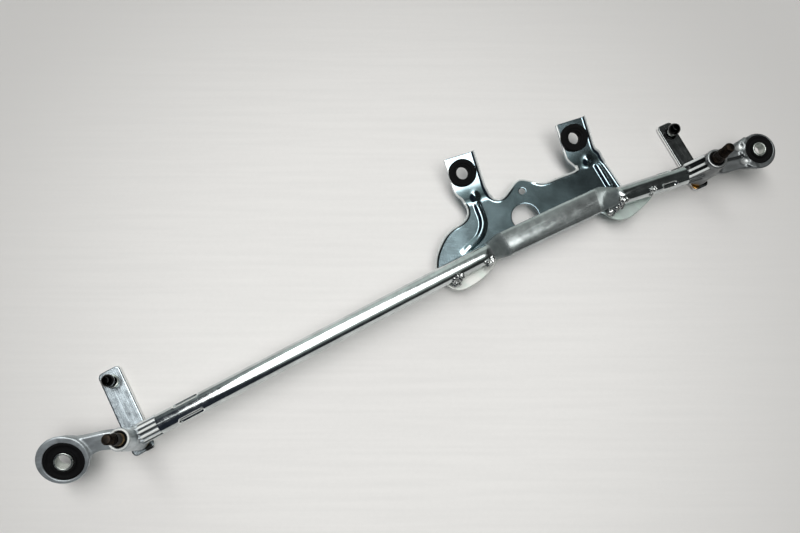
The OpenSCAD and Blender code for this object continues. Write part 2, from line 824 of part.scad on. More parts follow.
main_tube();
motor_bracket();
left_pivot_housing();
right_pivot_housing();
left_eye_grommet();
right_eye_grommet();
left_eye_sleeve();
right_eye_sleeve();
left_tab_grommet();
right_tab_grommet();
left_upper_bush();
left_lower_bush();
right_upper_bush();
right_lower_bush();
left_spindle();
left_lever();
left_ball_stud();
left_thrust_washer();
left_top_washer();
left_circlip();
left_dust_seal();
right_spindle();
right_lever();
right_ball_stud();
right_thrust_washer();
right_top_washer();
right_circlip();
right_dust_seal();
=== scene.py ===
"""Wiper linkage: the looks of its tube, bracket, castings, rubbers and cranks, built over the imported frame."""
import json
import math

import bmesh
import bpy
import numpy as np
from bpy.props import FloatProperty, FloatVectorProperty, PointerProperty
from mathutils import Matrix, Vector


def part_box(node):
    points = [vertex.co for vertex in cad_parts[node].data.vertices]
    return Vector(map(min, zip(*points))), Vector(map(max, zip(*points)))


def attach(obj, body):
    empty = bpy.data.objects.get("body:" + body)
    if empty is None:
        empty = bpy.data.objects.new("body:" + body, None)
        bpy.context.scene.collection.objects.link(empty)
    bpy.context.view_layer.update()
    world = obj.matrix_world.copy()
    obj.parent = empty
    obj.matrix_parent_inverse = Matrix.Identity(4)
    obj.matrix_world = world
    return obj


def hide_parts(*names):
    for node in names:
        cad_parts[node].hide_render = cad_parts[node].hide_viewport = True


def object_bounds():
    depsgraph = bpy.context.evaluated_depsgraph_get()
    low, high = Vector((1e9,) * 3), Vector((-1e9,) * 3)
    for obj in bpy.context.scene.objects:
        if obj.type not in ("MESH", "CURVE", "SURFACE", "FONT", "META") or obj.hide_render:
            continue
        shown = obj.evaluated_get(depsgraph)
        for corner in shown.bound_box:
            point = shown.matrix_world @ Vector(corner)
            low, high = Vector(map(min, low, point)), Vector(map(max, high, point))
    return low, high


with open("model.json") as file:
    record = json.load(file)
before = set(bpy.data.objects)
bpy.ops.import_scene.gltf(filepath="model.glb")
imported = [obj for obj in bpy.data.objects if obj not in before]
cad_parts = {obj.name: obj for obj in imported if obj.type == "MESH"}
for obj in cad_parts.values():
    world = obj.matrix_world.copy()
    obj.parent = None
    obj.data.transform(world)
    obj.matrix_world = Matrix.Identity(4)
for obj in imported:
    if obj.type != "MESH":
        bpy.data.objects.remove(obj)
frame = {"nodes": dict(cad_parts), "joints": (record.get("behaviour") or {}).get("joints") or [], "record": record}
cad_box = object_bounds()

bl_info = {
    "name": "Wiper linkage",
    "version": (1, 0, 0),
    "blender": (4, 5, 0),
    "location": "3D View > Sidebar > Wiper",
    "description": "Builds a wiper linkage frame with its pivots, cranks and finishes",
    "category": "Add Mesh",
}

MM = 0.001
SIDES = ("left", "right")
MOUNTS = {m["name"]: m for m in frame["record"]["mounts"]}
PIVOT = {j["name"].split("_")[0]: np.array(j["pos_m"]) for j in frame["joints"]}
EYE = {s: np.array(MOUNTS[f"{s}_eye_bore"]["pos_m"]) for s in SIDES}
EYE_SLOPE = {s: math.asin(-MOUNTS[f"{s}_eye_bore"]["axis"][1]) for s in SIDES}
TAB = {s: np.array(MOUNTS[f"{s}_tab_bore"]["pos_m"]) for s in SIDES}
BOSS_TOP = {s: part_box(f"{s}_pivot_housing")[1].z for s in SIDES}
BOSS_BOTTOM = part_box("left_lower_bush")[0].z
LEVER_LOW, LEVER_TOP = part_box("left_lever")[0].z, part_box("left_lever")[1].z
FLOOR = cad_box[0][2]


def length(name, millimetres, description):
    """A size that a user may change, given here in millimetres and kept in metres."""
    return FloatProperty(name=name, description=description, default=millimetres*MM, unit="LENGTH", precision=5)


def colour(name, rgb, description):
    """A base colour that a user may change."""
    return FloatVectorProperty(name=name, description=description, default=rgb, subtype="COLOR", min=0, max=1)


class TubeSizes(bpy.types.PropertyGroup):
    """Sizes of the cross tube."""
    od: length("Diameter", 20, "Outside diameter of the round lengths")
    wall: length("Wall", 1.5, "Thickness of the tube wall")
    flat_width: length("Flat width", 26.6, "Width of the flattened length")
    flat_height: length("Flat height", 9.6, "Height of the flattened length")
    flat_lean: FloatProperty(name="Flat lean", description="Turn of the flattened length about the tube, southwards",
                             default=math.radians(10), unit="ROTATION")
    blend: length("Blend", 15, "Length over which the round tube turns flat")
    crimp_depth: length("Crimp depth", 1.1, "Depth of a locking crimp")
    crimp_width: length("Crimp width", 5.6, "Width of a locking crimp round the tube")
    left_gap: length("Left gap", 31, "Distance from the left spindle to the tube end")
    right_gap: length("Right gap", 26, "Distance from the right spindle to the tube end")


class BracketSizes(bpy.types.PropertyGroup):
    """Sizes of the pressed motor bracket."""
    plate: length("Plate", 2.5, "Thickness of the pressed plate")
    rim_height: length("Rim height", 2, "Height that the middle of the plate gains along a rim")
    rim_width: length("Rim width", 4, "Width over which the rim curls up")
    bead_width: length("Bead width", 10, "Width of a stiffening bead")
    bead_height: length("Bead height", 2.2, "Height of a stiffening bead")
    tab_rise: length("Tab rise", 8, "Height of a tab at its fold")
    tab_slope: FloatProperty(name="Tab slope", description="Slope of the tabs", default=math.radians(15),
                             unit="ROTATION")
    tab_hole: length("Tab hole", 20, "Diameter of the hole that holds a tab's rubber")
    flange_height: length("Flange height", 2.6,
                          "Height that the middle of the plate gains along the lip beside a tab")
    flange_width: length("Flange width", 4.6, "Width over which that lip curls up")
    grid: length("Grid", 0.65, "Spacing of the points that the pressing is meshed with")


class HousingSizes(bpy.types.PropertyGroup):
    """Sizes of the die-cast pivot housings."""
    boss: length("Boss", 21.6, "Outside diameter of an upright boss")
    bore: length("Bore", 15, "Bore that holds the bushes")
    counterbore: length("Counterbore", 15.6, "Diameter of the recess at the top of a boss")
    counterbore_depth: length("Counterbore depth", 5, "Depth of that recess")
    collar: length("Collar", 21.2, "Outside diameter of a ribbed collar")
    flute_depth: length("Flute depth", 1.5, "Depth of the flutes between the ribs of a collar")
    fillet: length("Fillet", 5, "Reach of the cast fillets between boss, arm, collar and eye")
    rib_top: length("Rib top", 34, "Height at which the right housing's sloped ribs meet its boss")
    rib_radius: length("Rib radius", 1.7, "Radius of those ribs")
    eye_height: length("Eye height", 10, "Height of an eye along its own axis")
    rim_depth: length("Rim depth", 3, "Height of the rim round an eye")
    grid: length("Grid", 0.7, "Spacing of the points that a casting is meshed with")


class CrankSizes(bpy.types.PropertyGroup):
    """Sizes of the spindles, levers and ball studs."""
    spindle: length("Spindle", 12, "Diameter of a spindle")
    spindle_above: length("Spindle above", 28, "Length of a spindle above its boss")
    tip: length("Tip", 10, "Diameter of the threaded tip")
    tip_length: length("Tip length", 13, "Length of the threaded tip")
    thread_pitch: length("Thread pitch", 1.5, "Pitch of the tip's thread")
    rivet: length("Rivet", 8.6, "Diameter of the rivet ends in a lever")
    lever_end: length("Lever end", 13.5, "Length of a lever past its ball and past its spindle")
    lever_corner: length("Lever corner", 5, "Corner radius of a lever")
    lever_edge: length("Lever edge", 1.6, "Rounding of a lever's edges")
    ball: length("Ball", 13, "Diameter of a ball")
    ball_height: length("Ball height", 12.5, "Height of a ball's centre above its lever")
    ball_neck: length("Ball neck", 7.4, "Diameter of a ball stud's neck")
    ball_foot: length("Ball foot", 14, "Diameter of a ball stud's foot")


class RubberSizes(bpy.types.PropertyGroup):
    """Sizes of the rubber grommets and their sleeves."""
    left_eye: length("Left eye rubber", 38, "Diameter of the rubber in the left eye")
    right_eye: length("Right eye rubber", 30, "Diameter of the rubber in the right eye")
    left_sleeve: length("Left sleeve", 17.8, "Outside diameter of the left sleeve")
    right_sleeve: length("Right sleeve", 14.6, "Outside diameter of the right sleeve")
    proud: length("Sleeve proud", 1, "How far a sleeve stands out of its eye")
    tab_top: length("Tab rubber", 29.4, "Diameter of a tab rubber's upper flange")
    tab_low: length("Tab rubber below", 25, "Diameter of a tab rubber's lower flange")
    tab_top_height: length("Upper flange", 5, "Height of the upper flange above the tab")
    tab_low_height: length("Lower flange", 4, "Height of the lower flange under the tab")


class Finishes(bpy.types.PropertyGroup):
    """Base colours of the finishes."""
    tube_zinc: colour("Tube zinc", (0.60, 0.64, 0.64), "Bright zinc of the tube")
    plate_zinc: colour("Plate zinc", (0.28, 0.365, 0.40), "Blue-grey zinc of the bracket")
    left_casting: colour("Left casting", (0.50, 0.54, 0.56), "Bare metal of the left housing")
    right_casting: colour("Right casting", (0.20, 0.212, 0.216), "Bare metal of the right housing")
    rubber: colour("Rubber", (0.0035, 0.0035, 0.0038), "Black rubber")
    sleeve: colour("Sleeve", (0.62, 0.66, 0.62), "Zinc of the sleeves")
    bronze: colour("Bronze", (0.36, 0.25, 0.12), "Sintered bronze of the bushes")
    spindle: colour("Spindle", (0.014, 0.011, 0.009), "Oiled brown steel of the spindles")
    dark_steel: colour("Spring steel", (0.06, 0.056, 0.052), "Dark spring steel")
    ball: colour("Ball stud", (0.005, 0.005, 0.005), "Black greased steel of the ball studs")
    left_lever: colour("Left lever", (0.36, 0.41, 0.435), "Pale zinc of the left lever")
    right_lever: colour("Right lever", (0.26, 0.275, 0.275), "Dull zinc of the right lever")
    weld: colour("Weld", (0.55, 0.57, 0.56), "Bright weld metal")
    lobe: colour("Lobe", (0.76, 0.77, 0.73), "Pale zinc of the bracket's lobes")
    floor: colour("Floor", (0.95, 0.925, 0.905), "Pale floor")


def sizes(group):
    """The property group of that name on the scene."""
    return getattr(bpy.context.scene, "wiper_" + group)


# Shader maths

class Value:
    """A shader output whose operators add Math nodes to its material."""

    def __init__(self, finish, socket):
        self.finish = finish
        self.socket = socket

    def math(self, operation, *values):
        return self.finish.node("ShaderNodeMath", {"operation": operation}, dict(enumerate(values)))

    def __add__(self, other):
        return self.math("ADD", self, other)

    def __radd__(self, other):
        return self.math("ADD", other, self)

    def __sub__(self, other):
        return self.math("SUBTRACT", self, other)

    def __rsub__(self, other):
        return self.math("SUBTRACT", other, self)

    def __mul__(self, other):
        return self.math("MULTIPLY", self, other)

    def __rmul__(self, other):
        return self.math("MULTIPLY", other, self)

    def __pow__(self, other):
        return self.math("POWER", self, other)

    def __rpow__(self, other):
        return self.math("POWER", other, self)

    def ramp(self, low, high):
        """Goes smoothly from 0 to 1 as the value goes from low to high."""
        return self.finish.node("ShaderNodeMapRange", {"interpolation_type": "SMOOTHSTEP"},
                                {"Value": self, "From Min": low, "From Max": high})


class Finish:
    """One material: node() adds any node, and values come back wrapped."""

    def __init__(self, name, world=None):
        self.material = world or bpy.data.materials.new(name)
        self.material.use_nodes = True
        self.tree = self.material.node_tree
        self.tree.nodes.clear()

    def node(self, kind, settings, sockets, out=0):
        """Adds a node of that kind, sets its settings, then its sockets, and returns one output."""
        node = self.tree.nodes.new(kind)
        for name, value in settings.items():
            setattr(node, name, value)
        for key, value in sockets.items():
            self.feed(node.inputs[key], value)
        return Value(self, node.outputs[out]) if node.outputs else None

    def feed(self, socket, value):
        """Links a wrapped value to a socket, or sets a plain one."""
        if isinstance(value, Value):
            self.tree.links.new(value.socket, socket)
        elif socket.type == "RGBA" and len(value) == 3:
            socket.default_value = (*value, 1.0)
        else:
            socket.default_value = value

    def place(self, scale=(1, 1, 1), turn=(0, 0, 0)):
        """Object coordinates, turned and stretched."""
        here = self.node("ShaderNodeTexCoord", {}, {}, "Object")
        turned = self.node("ShaderNodeMapping", {}, {"Vector": here, "Rotation": turn})
        return self.node("ShaderNodeMapping", {}, {"Vector": turned, "Scale": scale})

    def painted_light_and_dull(self):
        """How far a spot carries painted light, as stored on the mesh: up to 1 for a painted highlight, down to -1
        for a dulled length or, on the castings, painted shade.
        """
        return self.node("ShaderNodeAttribute", {"attribute_name": "painted_light_and_dull"}, {}, "Fac")

    def axis(self, index):
        """One of the Object coordinates."""
        here = self.node("ShaderNodeTexCoord", {}, {}, "Object")
        return self.node("ShaderNodeSeparateXYZ", {}, {0: here}, index)

    def noise(self, vector, scale, detail=3.0, roughness=0.55):
        """Fractal noise from 0 to 1."""
        return self.node("ShaderNodeTexNoise", {}, {"Vector": vector, "Scale": scale, "Detail": detail,
                                                    "Roughness": roughness})

    def mix(self, factor, first, second):
        """Mixes two colours."""
        return self.node("ShaderNodeMix", {"data_type": "RGBA"}, {0: factor, 6: first, 7: second}, 2)

    def bump(self, height, distance):
        """Normal of a height times a distance in metres."""
        return self.node("ShaderNodeBump", {}, {"Strength": 1.0, "Distance": distance, "Height": height})

    def surface(self, **sockets):
        """Ends the material in a Principled shader, and returns the material."""
        names = {key.replace("_", " ").title().replace("Ior", "IOR"): value for key, value in sockets.items()}
        shader = self.node("ShaderNodeBsdfPrincipled", {}, names)
        self.node("ShaderNodeOutputMaterial", {}, {"Surface": shader})
        return self.material


def shade(rgb, factor):
    """A colour made lighter or darker."""
    return tuple(min(1.0, c*factor) for c in rgb)


# Shape helpers

# Points nearer than this, in metres, are welded
SAME_PLACE = 1e-7


def smooth_row(points, steps):
    """Catmull-Rom curve through a row of points in millimetres, as points in metres."""
    p = np.asarray(points, float)*MM
    q = np.vstack([p[:1], p, p[-1:]])
    t = np.linspace(0, 1, steps, endpoint=False)[None, :, None]
    a, b, c, d = (q[k:len(q) - 3 + k, None, :] for k in range(4))
    curve = 0.5*(2*b + (c - a)*t + (2*a - 5*b + 4*c - d)*t**2 + (3*b - a - 3*c + d)*t**3)
    return np.vstack([curve.reshape(-1, p.shape[1]), p[-1:]])


def ease(t):
    """Smooth step from 0 to 1."""
    t = np.clip(t, 0, 1)
    return t*t*(3 - 2*t)


def bend(t, k):
    """Straight climb from 0 to 1, with the bends at both ends rounded over k."""
    return join(meet(t, 0*t, k), 1 + 0*t, k)


def join(a, b, k):
    """Lesser of two distances, with a fillet of reach k where they meet."""
    h = np.maximum(k - np.abs(a - b), 0)/k
    return np.minimum(a, b) - h*h*k/4


def meet(a, b, k):
    """Greater of two distances, with the edge rounded over reach k."""
    return -join(-a, -b, k)


def row_distance(x, y, row):
    """Distance to an open row of straight stretches, and the place along the row from 0 to 1."""
    best = np.full(np.broadcast(x, y).shape, np.inf)
    place = np.zeros_like(best)
    for k, (a, b) in enumerate(zip(row[:-1], row[1:])):
        d = b - a
        t = np.clip(((x - a[0])*d[0] + (y - a[1])*d[1])/(d @ d), 0, 1)
        gap = np.hypot(x - a[0] - t*d[0], y - a[1] - t*d[1])
        place = np.where(gap < best, (k + t)/(len(row) - 1), place)
        best = np.minimum(best, gap)
    return best, place


def outline_distance(x, y, outline):
    """Distance to a closed outline, negative inside it, where a ray crosses it an odd number of times."""
    closed = np.vstack([outline, outline[:1]])
    gap, _ = row_distance(x, y, closed)
    odd = np.zeros(gap.shape, bool)
    for a, b in zip(closed[:-1], closed[1:]):
        if a[1] != b[1]:
            across = a[0] + (y - a[1])*(b[0] - a[0])/(b[1] - a[1])
            odd ^= ((a[1] > y) != (b[1] > y)) & (x < across)
    return np.where(odd, -gap, gap)


def lookup(table, axes, x, y):
    """Values between the points of an even table, from the four nearest ones."""
    i, j = (np.clip((v - a[0])/(a[1] - a[0]), 0, len(a) - 1.001) for v, a in zip((x + 0*y, y + 0*x), axes))
    m, n = i.astype(int), j.astype(int)
    i, j = i - m, j - n
    return ((1 - i)*((1 - j)*table[m, n] + j*table[m, n + 1])
            + i*((1 - j)*table[m + 1, n] + j*table[m + 1, n + 1]))


def grid_faces(rows, columns, closed_rows, closed_columns):
    """Quads between neighbours of a grid of points, with each direction closed on itself or open."""
    i = np.arange(rows if closed_rows else rows - 1)
    j = np.arange(columns if closed_columns else columns - 1)
    i, j = (g.ravel() for g in np.meshgrid(i, j, indexing="ij"))
    up, right = (i + 1) % rows, (j + 1) % columns
    return np.stack([i*columns + j, i*columns + right, up*columns + right, up*columns + j], axis=1)


def revolve(profile, turns=96, ripple=None):
    """Surface of a profile of radius and height turned about Z; ripple(angle, height) is added to the radius.
    A profile that starts and ends on the axis is closed there, and any other is closed on itself."""
    profile = np.asarray(profile, float)
    closed = profile[0, 0] > 0
    angle = np.linspace(0, 2*np.pi, turns, endpoint=False)[None, :]
    radius, height = (np.repeat(profile[:, k, None], turns, axis=1) for k in (0, 1))
    if ripple:
        radius = radius + ripple(angle, height)
    points = np.stack([radius*np.cos(angle), radius*np.sin(angle), height], axis=-1)
    return points.reshape(-1, 3), grid_faces(len(profile), turns, closed, True)


def rounded(corners, radius, steps=4, closed=True):
    """Profile whose corners are rounded: each is cut back by the radius and bridged by a parabola."""
    p = np.asarray(corners, float)
    before, after = np.roll(p, 1, axis=0) - p, np.roll(p, -1, axis=0) - p
    cut = np.minimum(radius, 0.45*np.minimum(np.linalg.norm(before, axis=1), np.linalg.norm(after, axis=1)))
    if not closed:
        cut[[0, -1]] = 0
    start = p + before/np.linalg.norm(before, axis=1)[:, None]*cut[:, None]
    end = p + after/np.linalg.norm(after, axis=1)[:, None]*cut[:, None]
    t = np.linspace(0, 1, steps)[None, :, None]
    bridge = start[:, None]*(1 - t)**2 + 2*p[:, None]*t*(1 - t) + end[:, None]*t**2
    if not closed:
        return np.vstack([p[:1], bridge[1:-1].reshape(-1, 2), p[-1:]])
    return bridge.reshape(-1, 2)


def skin(field, low, high, step):
    """Surface where a distance field is zero: one point in each cell that the surface crosses, at the mean
    of its crossings, moved onto the surface along the slope of the field; quads join neighbouring cells."""
    low, high = np.asarray(low), np.asarray(high)
    axes = [np.arange(a, b + step, step) for a, b in zip(low, high)]
    shape = tuple(len(a) for a in axes)
    f = np.broadcast_to(field(*np.meshgrid(*axes, indexing="ij", sparse=True)), shape)
    inside = f < 0
    corners = np.array([(i, j, k) for i in (0, 1) for j in (0, 1) for k in (0, 1)])
    count = sum(inside[i:shape[0] - 1 + i, j:shape[1] - 1 + j, k:shape[2] - 1 + k].astype(np.int8)
                for i, j, k in corners)
    cells = np.argwhere((count > 0) & (count < 8))
    at = cells[:, None, :] + corners[None]
    value = f[at[..., 0], at[..., 1], at[..., 2]]
    total, hits = np.zeros((len(cells), 3)), np.zeros((len(cells), 1))
    for a in range(8):
        for b in range(a + 1, 8):
            if np.abs(corners[a] - corners[b]).sum() == 1:
                crossed = (value[:, a] < 0) != (value[:, b] < 0)
                t = np.where(crossed, value[:, a]/np.where(crossed, value[:, a] - value[:, b], 1), 0)[:, None]
                total += crossed[:, None]*(corners[a] + t*(corners[b] - corners[a]))
                hits += crossed[:, None]
    points = low + (cells + total/hits)*step
    for _ in range(2):
        slope, here = slope_of(field, points, step*0.05)
        shift = here[:, None]*slope/np.maximum((slope**2).sum(1), 0.05)[:, None]
        points -= shift*np.minimum(1, 0.5*step/np.maximum(np.linalg.norm(shift, axis=1), 1e-12))[:, None]
    slope, _ = slope_of(field, points, step*0.15)
    index = np.full([n - 1 for n in shape], -1)
    index[tuple(cells.T)] = np.arange(len(cells))
    quads = []
    for axis in range(3):
        u, v = (axis + 1) % 3, (axis + 2) % 3
        first = np.take(inside, range(shape[axis] - 1), axis)
        second = np.take(inside, range(1, shape[axis]), axis)
        edge = np.argwhere(first != second)
        edge = edge[(edge[:, u] > 0) & (edge[:, v] > 0) & (edge[:, u] < shape[u] - 1) & (edge[:, v] < shape[v] - 1)]
        around = np.stack([edge - du*np.eye(3, dtype=int)[u] - dv*np.eye(3, dtype=int)[v]
                           for du, dv in ((1, 1), (0, 1), (0, 0), (1, 0))], axis=1)
        quad = index[around[..., 0], around[..., 1], around[..., 2]]
        leaving = inside[tuple(edge.T)]
        quads.append(np.where(leaving[:, None], quad, quad[:, ::-1]))
    return points, np.vstack(quads), slope/np.linalg.norm(slope, axis=1)[:, None]


def slope_of(field, points, nudge):
    """Slope of a field at some points, from small steps along each axis, and its value there."""
    here = field(*points.T)
    return np.stack([(field(*(points + nudge*e).T) - here)/nudge for e in np.eye(3)], axis=1), here


def move(points, place, slope):
    """Points sloped about X and moved."""
    return points @ np.array(Matrix.Rotation(slope, 3, "X")).T + place


def add_piece(name, surface, body, slot, replaced=None, sharp=None, painted_light_and_dull=None, look=None):
    """Makes a mesh object of a surface's points, quads and, if it has them, normals, and ties it to its body.
    Points that fall together are welded, the faces are turned outwards, and the painted highlights, painted shade and
    dulled lengths are stored for the finish, which is the slot's own or the one named by look."""
    points, quads, *normals = surface
    corner = points[quads]
    volume = np.einsum("ij,ij->i", corner[:, 0], np.cross(corner[:, 1], corner[:, 2]))
    volume += np.einsum("ij,ij->i", corner[:, 0], np.cross(corner[:, 2], corner[:, 3]))
    if volume.sum() < 0:
        quads = quads[:, ::-1]
    mesh = bpy.data.meshes.new(name)
    mesh.vertices.add(len(points))
    mesh.vertices.foreach_set("co", np.ascontiguousarray(points, np.float32).ravel())
    mesh.loops.add(quads.size)
    mesh.loops.foreach_set("vertex_index", np.ascontiguousarray(quads, np.int32).ravel())
    mesh.polygons.add(len(quads))
    mesh.polygons.foreach_set("loop_start", np.arange(0, quads.size, 4, dtype=np.int32))
    mesh.update(calc_edges=True)
    mesh.shade_smooth()
    if painted_light_and_dull is not None:
        mesh.attributes.new("painted_light_and_dull", "FLOAT", "POINT").data.foreach_set("value", painted_light_and_dull.astype(np.float32))
    if normals:
        mesh.normals_split_custom_set_from_vertices(normals[0].astype(np.float32))
    else:
        work = bmesh.new()
        work.from_mesh(mesh)
        bmesh.ops.remove_doubles(work, verts=work.verts, dist=SAME_PLACE)
        work.to_mesh(mesh)
        work.free()
    if sharp:
        mesh.set_sharp_from_angle(angle=math.radians(sharp))
    piece = bpy.data.objects.new(name, mesh)
    bpy.context.scene.collection.objects.link(piece)
    mesh.materials.append(finish(look or slot))
    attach(piece, body)
    if replaced:
        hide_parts(replaced)


# Finishes

# Painted highlights: the whitened colour of lit casting ribs and plate rims, and the bright zinc of lit crimp lips
# and lever sides
PAINTED_HIGHLIGHT_RGB = (0.84, 0.86, 0.84)
ZINC_HIGHLIGHT_RGB = (0.95, 0.97, 0.96)
DULL_RGB = ((0.11, 0.13, 0.135), (0.22, 0.25, 0.245))
SHEEN_RGB = (0.58, 0.72, 0.64)
BROWN_RGB = (0.05, 0.032, 0.02)
# Painted shade: the east lobe's colour is darkened by these factors
EAST_LOBE_SHADE = (0.62, 0.70, 0.70)
# The lobes lie south of the line that has this y at x = 0, and this slope
LOBE_LINE = (-0.0265, 0.096)
# Painted shade: the plate's colour darkens westwards from one x to the other
WEST_SHADE = (-0.072, -0.122)
# Place and radius of each stain on a lever, in millimetres, and its colour
LEFT_STAINS = [(-437, -103, 4.5, (0.02, 0.02, 0.02))]
RIGHT_STAINS = [(204.5, -20, 4.5, (0.008, 0.008, 0.008)), (195.2, -21.5, 4.2, (0.42, 0.20, 0.03))]


def zinc(name, rgb, roughness, turn, streak, blotch, stains=()):
    """Bright zinc plate: cloudy tone, fine rub marks along one direction and soft pits. Painted highlights are
    brighter, dulled lengths greyer and rougher, and stains have a ragged edge."""
    f = Finish(name)
    cloud = f.noise(f.place(), 38, 4)
    patch = f.noise(f.place(), 130, 3, 0.6)
    rub = f.noise(f.place((18, 420, 420), (0, 0, turn)), 1.0, 2, 0.6)
    tone = (cloud*0.6 + patch*0.4).ramp(0.32, 0.68)
    base = f.mix(tone, shade(rgb, 1 - blotch), shade(rgb, 1 + blotch*0.7))
    base = f.mix(rub.ramp(0.60, 0.76)*streak, base, shade(rgb, 1.4))
    # Painted highlight: lit crimp lips and lever sides turn bright
    base = f.mix(f.painted_light_and_dull().ramp(0, 1), base, ZINC_HIGHLIGHT_RGB)
    for x, y, radius, stain in stains:
        away = ((f.axis(0) - x*MM)**2 + (f.axis(1) - y*MM)**2)**0.5
        base = f.mix((away + patch*2*MM).ramp((radius + 1.6)*MM, radius*MM), base, stain)
    dull = f.painted_light_and_dull().ramp(0, -1)
    base = f.mix(dull, base, f.mix(tone, *DULL_RGB))
    rough = roughness + patch*0.12 + rub.ramp(0.5, 0.8)*0.10 - 0.06 + dull*0.2
    height = rub*0.5 + patch*0.8
    return f.surface(base_color=base, roughness=rough, metallic=1 - dull*0.6, normal=f.bump(height, 0.06*MM))


def casting(name, rgb, roughness):
    """Bare die casting: grained skin and flow marks, with painted highlights on the ribs and painted shade in the
    hollows between them.
    """
    f = Finish(name)
    flow = f.noise(f.place((1, 2.5, 1)), 45, 4)
    grain = f.noise(f.place(), 900, 2)
    painted_highlight = f.painted_light_and_dull().ramp(0, 1)
    base = f.mix(flow.ramp(0.3, 0.7), shade(rgb, 0.72), shade(rgb, 1.22))
    # Painted shade in the hollows between the ribs and in the groove
    base = f.mix(f.painted_light_and_dull().ramp(0, -1), base, shade(rgb, 0.15))
    # Painted highlights on the ribs, the boss's land and the pockets, whitened and made less metallic
    base = f.mix(painted_highlight, base, PAINTED_HIGHLIGHT_RGB)
    return f.surface(base_color=base, roughness=roughness + grain*0.16, metallic=0.85 - painted_highlight*0.8,
                     normal=f.bump(grain*0.6 + flow*0.8, 0.12*MM))


def rubber(name, rgb):
    """Black moulded rubber with a dusty bloom."""
    f = Finish(name)
    bloom = f.noise(f.place(), 160, 4)
    grain = f.noise(f.place(), 1500, 2)
    base = f.mix(bloom.ramp(0.5, 0.85), rgb, shade(rgb, 2.6))
    return f.surface(base_color=base, roughness=0.66 + bloom*0.2, specular_ior_level=0.12,
                     normal=f.bump(grain, 0.06*MM))


def oiled_metal(name, rgb, roughness, tint):
    """Dark oiled metal with brown stains."""
    f = Finish(name)
    stain = f.noise(f.place((1, 1, 0.6)), 220, 4, 0.65)
    fine = f.noise(f.place((1, 1, 6)), 500, 2)
    base = f.mix(stain.ramp(0.45, 0.75), rgb, tint)
    return f.surface(base_color=base, roughness=roughness + stain*0.22 - 0.08, metallic=0.9,
                     normal=f.bump(fine, 0.04*MM))


def spindle_steel(name, rgb, foot_rgb):
    """Dark oiled steel with brown stains, and bronze-brown on the left spindle's plain foot above the boss."""
    f = Finish(name)
    stain = f.noise(f.place((1, 1, 0.6)), 220, 4, 0.65)
    top = BOSS_TOP["left"]
    foot = (f.axis(2) + stain*3*MM).ramp(top + 8*MM, top + 3*MM)*f.axis(0).ramp(0.0, -0.1)
    base = f.mix(stain.ramp(0.45, 0.75), rgb, BROWN_RGB)
    base = f.mix(foot, base, shade(foot_rgb, 0.55))
    return f.surface(base_color=base, roughness=0.28 + stain*0.2 - foot*0.1, metallic=0.92,
                     normal=f.bump(stain, 0.06*MM))


def ball_steel(name, rgb, zinc_rgb):
    """Black greased steel of a ball, with bare zinc on the left one's foot, and a painted highlight in zinc colour on
    the right one's neck.
    """
    f = Finish(name)
    smear = f.noise(f.place(), 240, 3)
    left = f.axis(0).ramp(0.0, -0.1)
    above = f.axis(2) - LEVER_TOP
    # Painted highlight: the band round the right ball's neck
    neck = above.ramp(3.4*MM, 4.0*MM)*above.ramp(7*MM, 6*MM)
    foot = left*above.ramp(3.0*MM, 2.2*MM) + (1 - left)*neck
    base = f.mix(foot, f.mix(smear.ramp(0.4, 0.7), rgb, shade(rgb, 2.5)), zinc_rgb)
    return f.surface(base_color=base, roughness=0.10 + smear*0.10 + foot*0.2, metallic=1.0,
                     normal=f.bump(smear, 0.03*MM))


def plate_zinc(name, rgb, pale):
    """Blue-grey zinc of the pressing: cloudy, flecked with bright specks, darkened to the west by painted shade, with
    painted highlights along its rims, and pale with a faint sheen of green on the lobes, which lie south of a line
    under the tube; painted shade makes the east lobe darker."""
    f = Finish(name)
    cloud = f.noise(f.place(), 32, 4)
    fleck = f.noise(f.place(), 620, 3, 0.7)
    rub = f.noise(f.place((40, 500, 500), (0, 0, math.radians(25))), 1.0, 2, 0.6)
    base = f.mix(cloud.ramp(0.34, 0.66), shade(rgb, 0.74), shade(rgb, 1.2))
    # Painted shade darkening the plate to the west
    base = f.mix(f.axis(0).ramp(*WEST_SHADE)*0.85, base, shade(rgb, 0.12))
    base = f.mix(fleck.ramp(0.66, 0.74)*0.7, base, shade(rgb, 2.0))
    base = f.mix(rub.ramp(0.62, 0.74)*0.35, base, shade(rgb, 1.7))
    lobe = (f.axis(1) - LOBE_LINE[0] - f.axis(0)*LOBE_LINE[1]).ramp(0.0, -6*MM)
    sheen = f.noise(f.place((90, 30, 1), (0, 0, math.radians(-20))), 1.0, 3)
    shaded_lobe = tuple(c*fade for c, fade in zip(pale, EAST_LOBE_SHADE))
    # Painted shade darkening the east lobe
    pale = f.mix(f.axis(0).ramp(-0.02, 0.05), pale, shaded_lobe)
    pale = f.mix(sheen.ramp(0.42, 0.62)*0.4, pale, SHEEN_RGB)
    # Painted highlights along the rims, whitened and made less metallic
    painted_highlight = f.painted_light_and_dull()*(1 - lobe)
    base = f.mix(painted_highlight, f.mix(lobe, base, pale), PAINTED_HIGHLIGHT_RGB)
    rough = 0.11 + cloud*0.08 + lobe*0.3
    return f.surface(base_color=base, roughness=rough, metallic=1 - lobe*0.7 - painted_highlight*0.85,
                     normal=f.bump(rub*0.5 + fleck*0.5, 0.05*MM))


FINISHES = {}


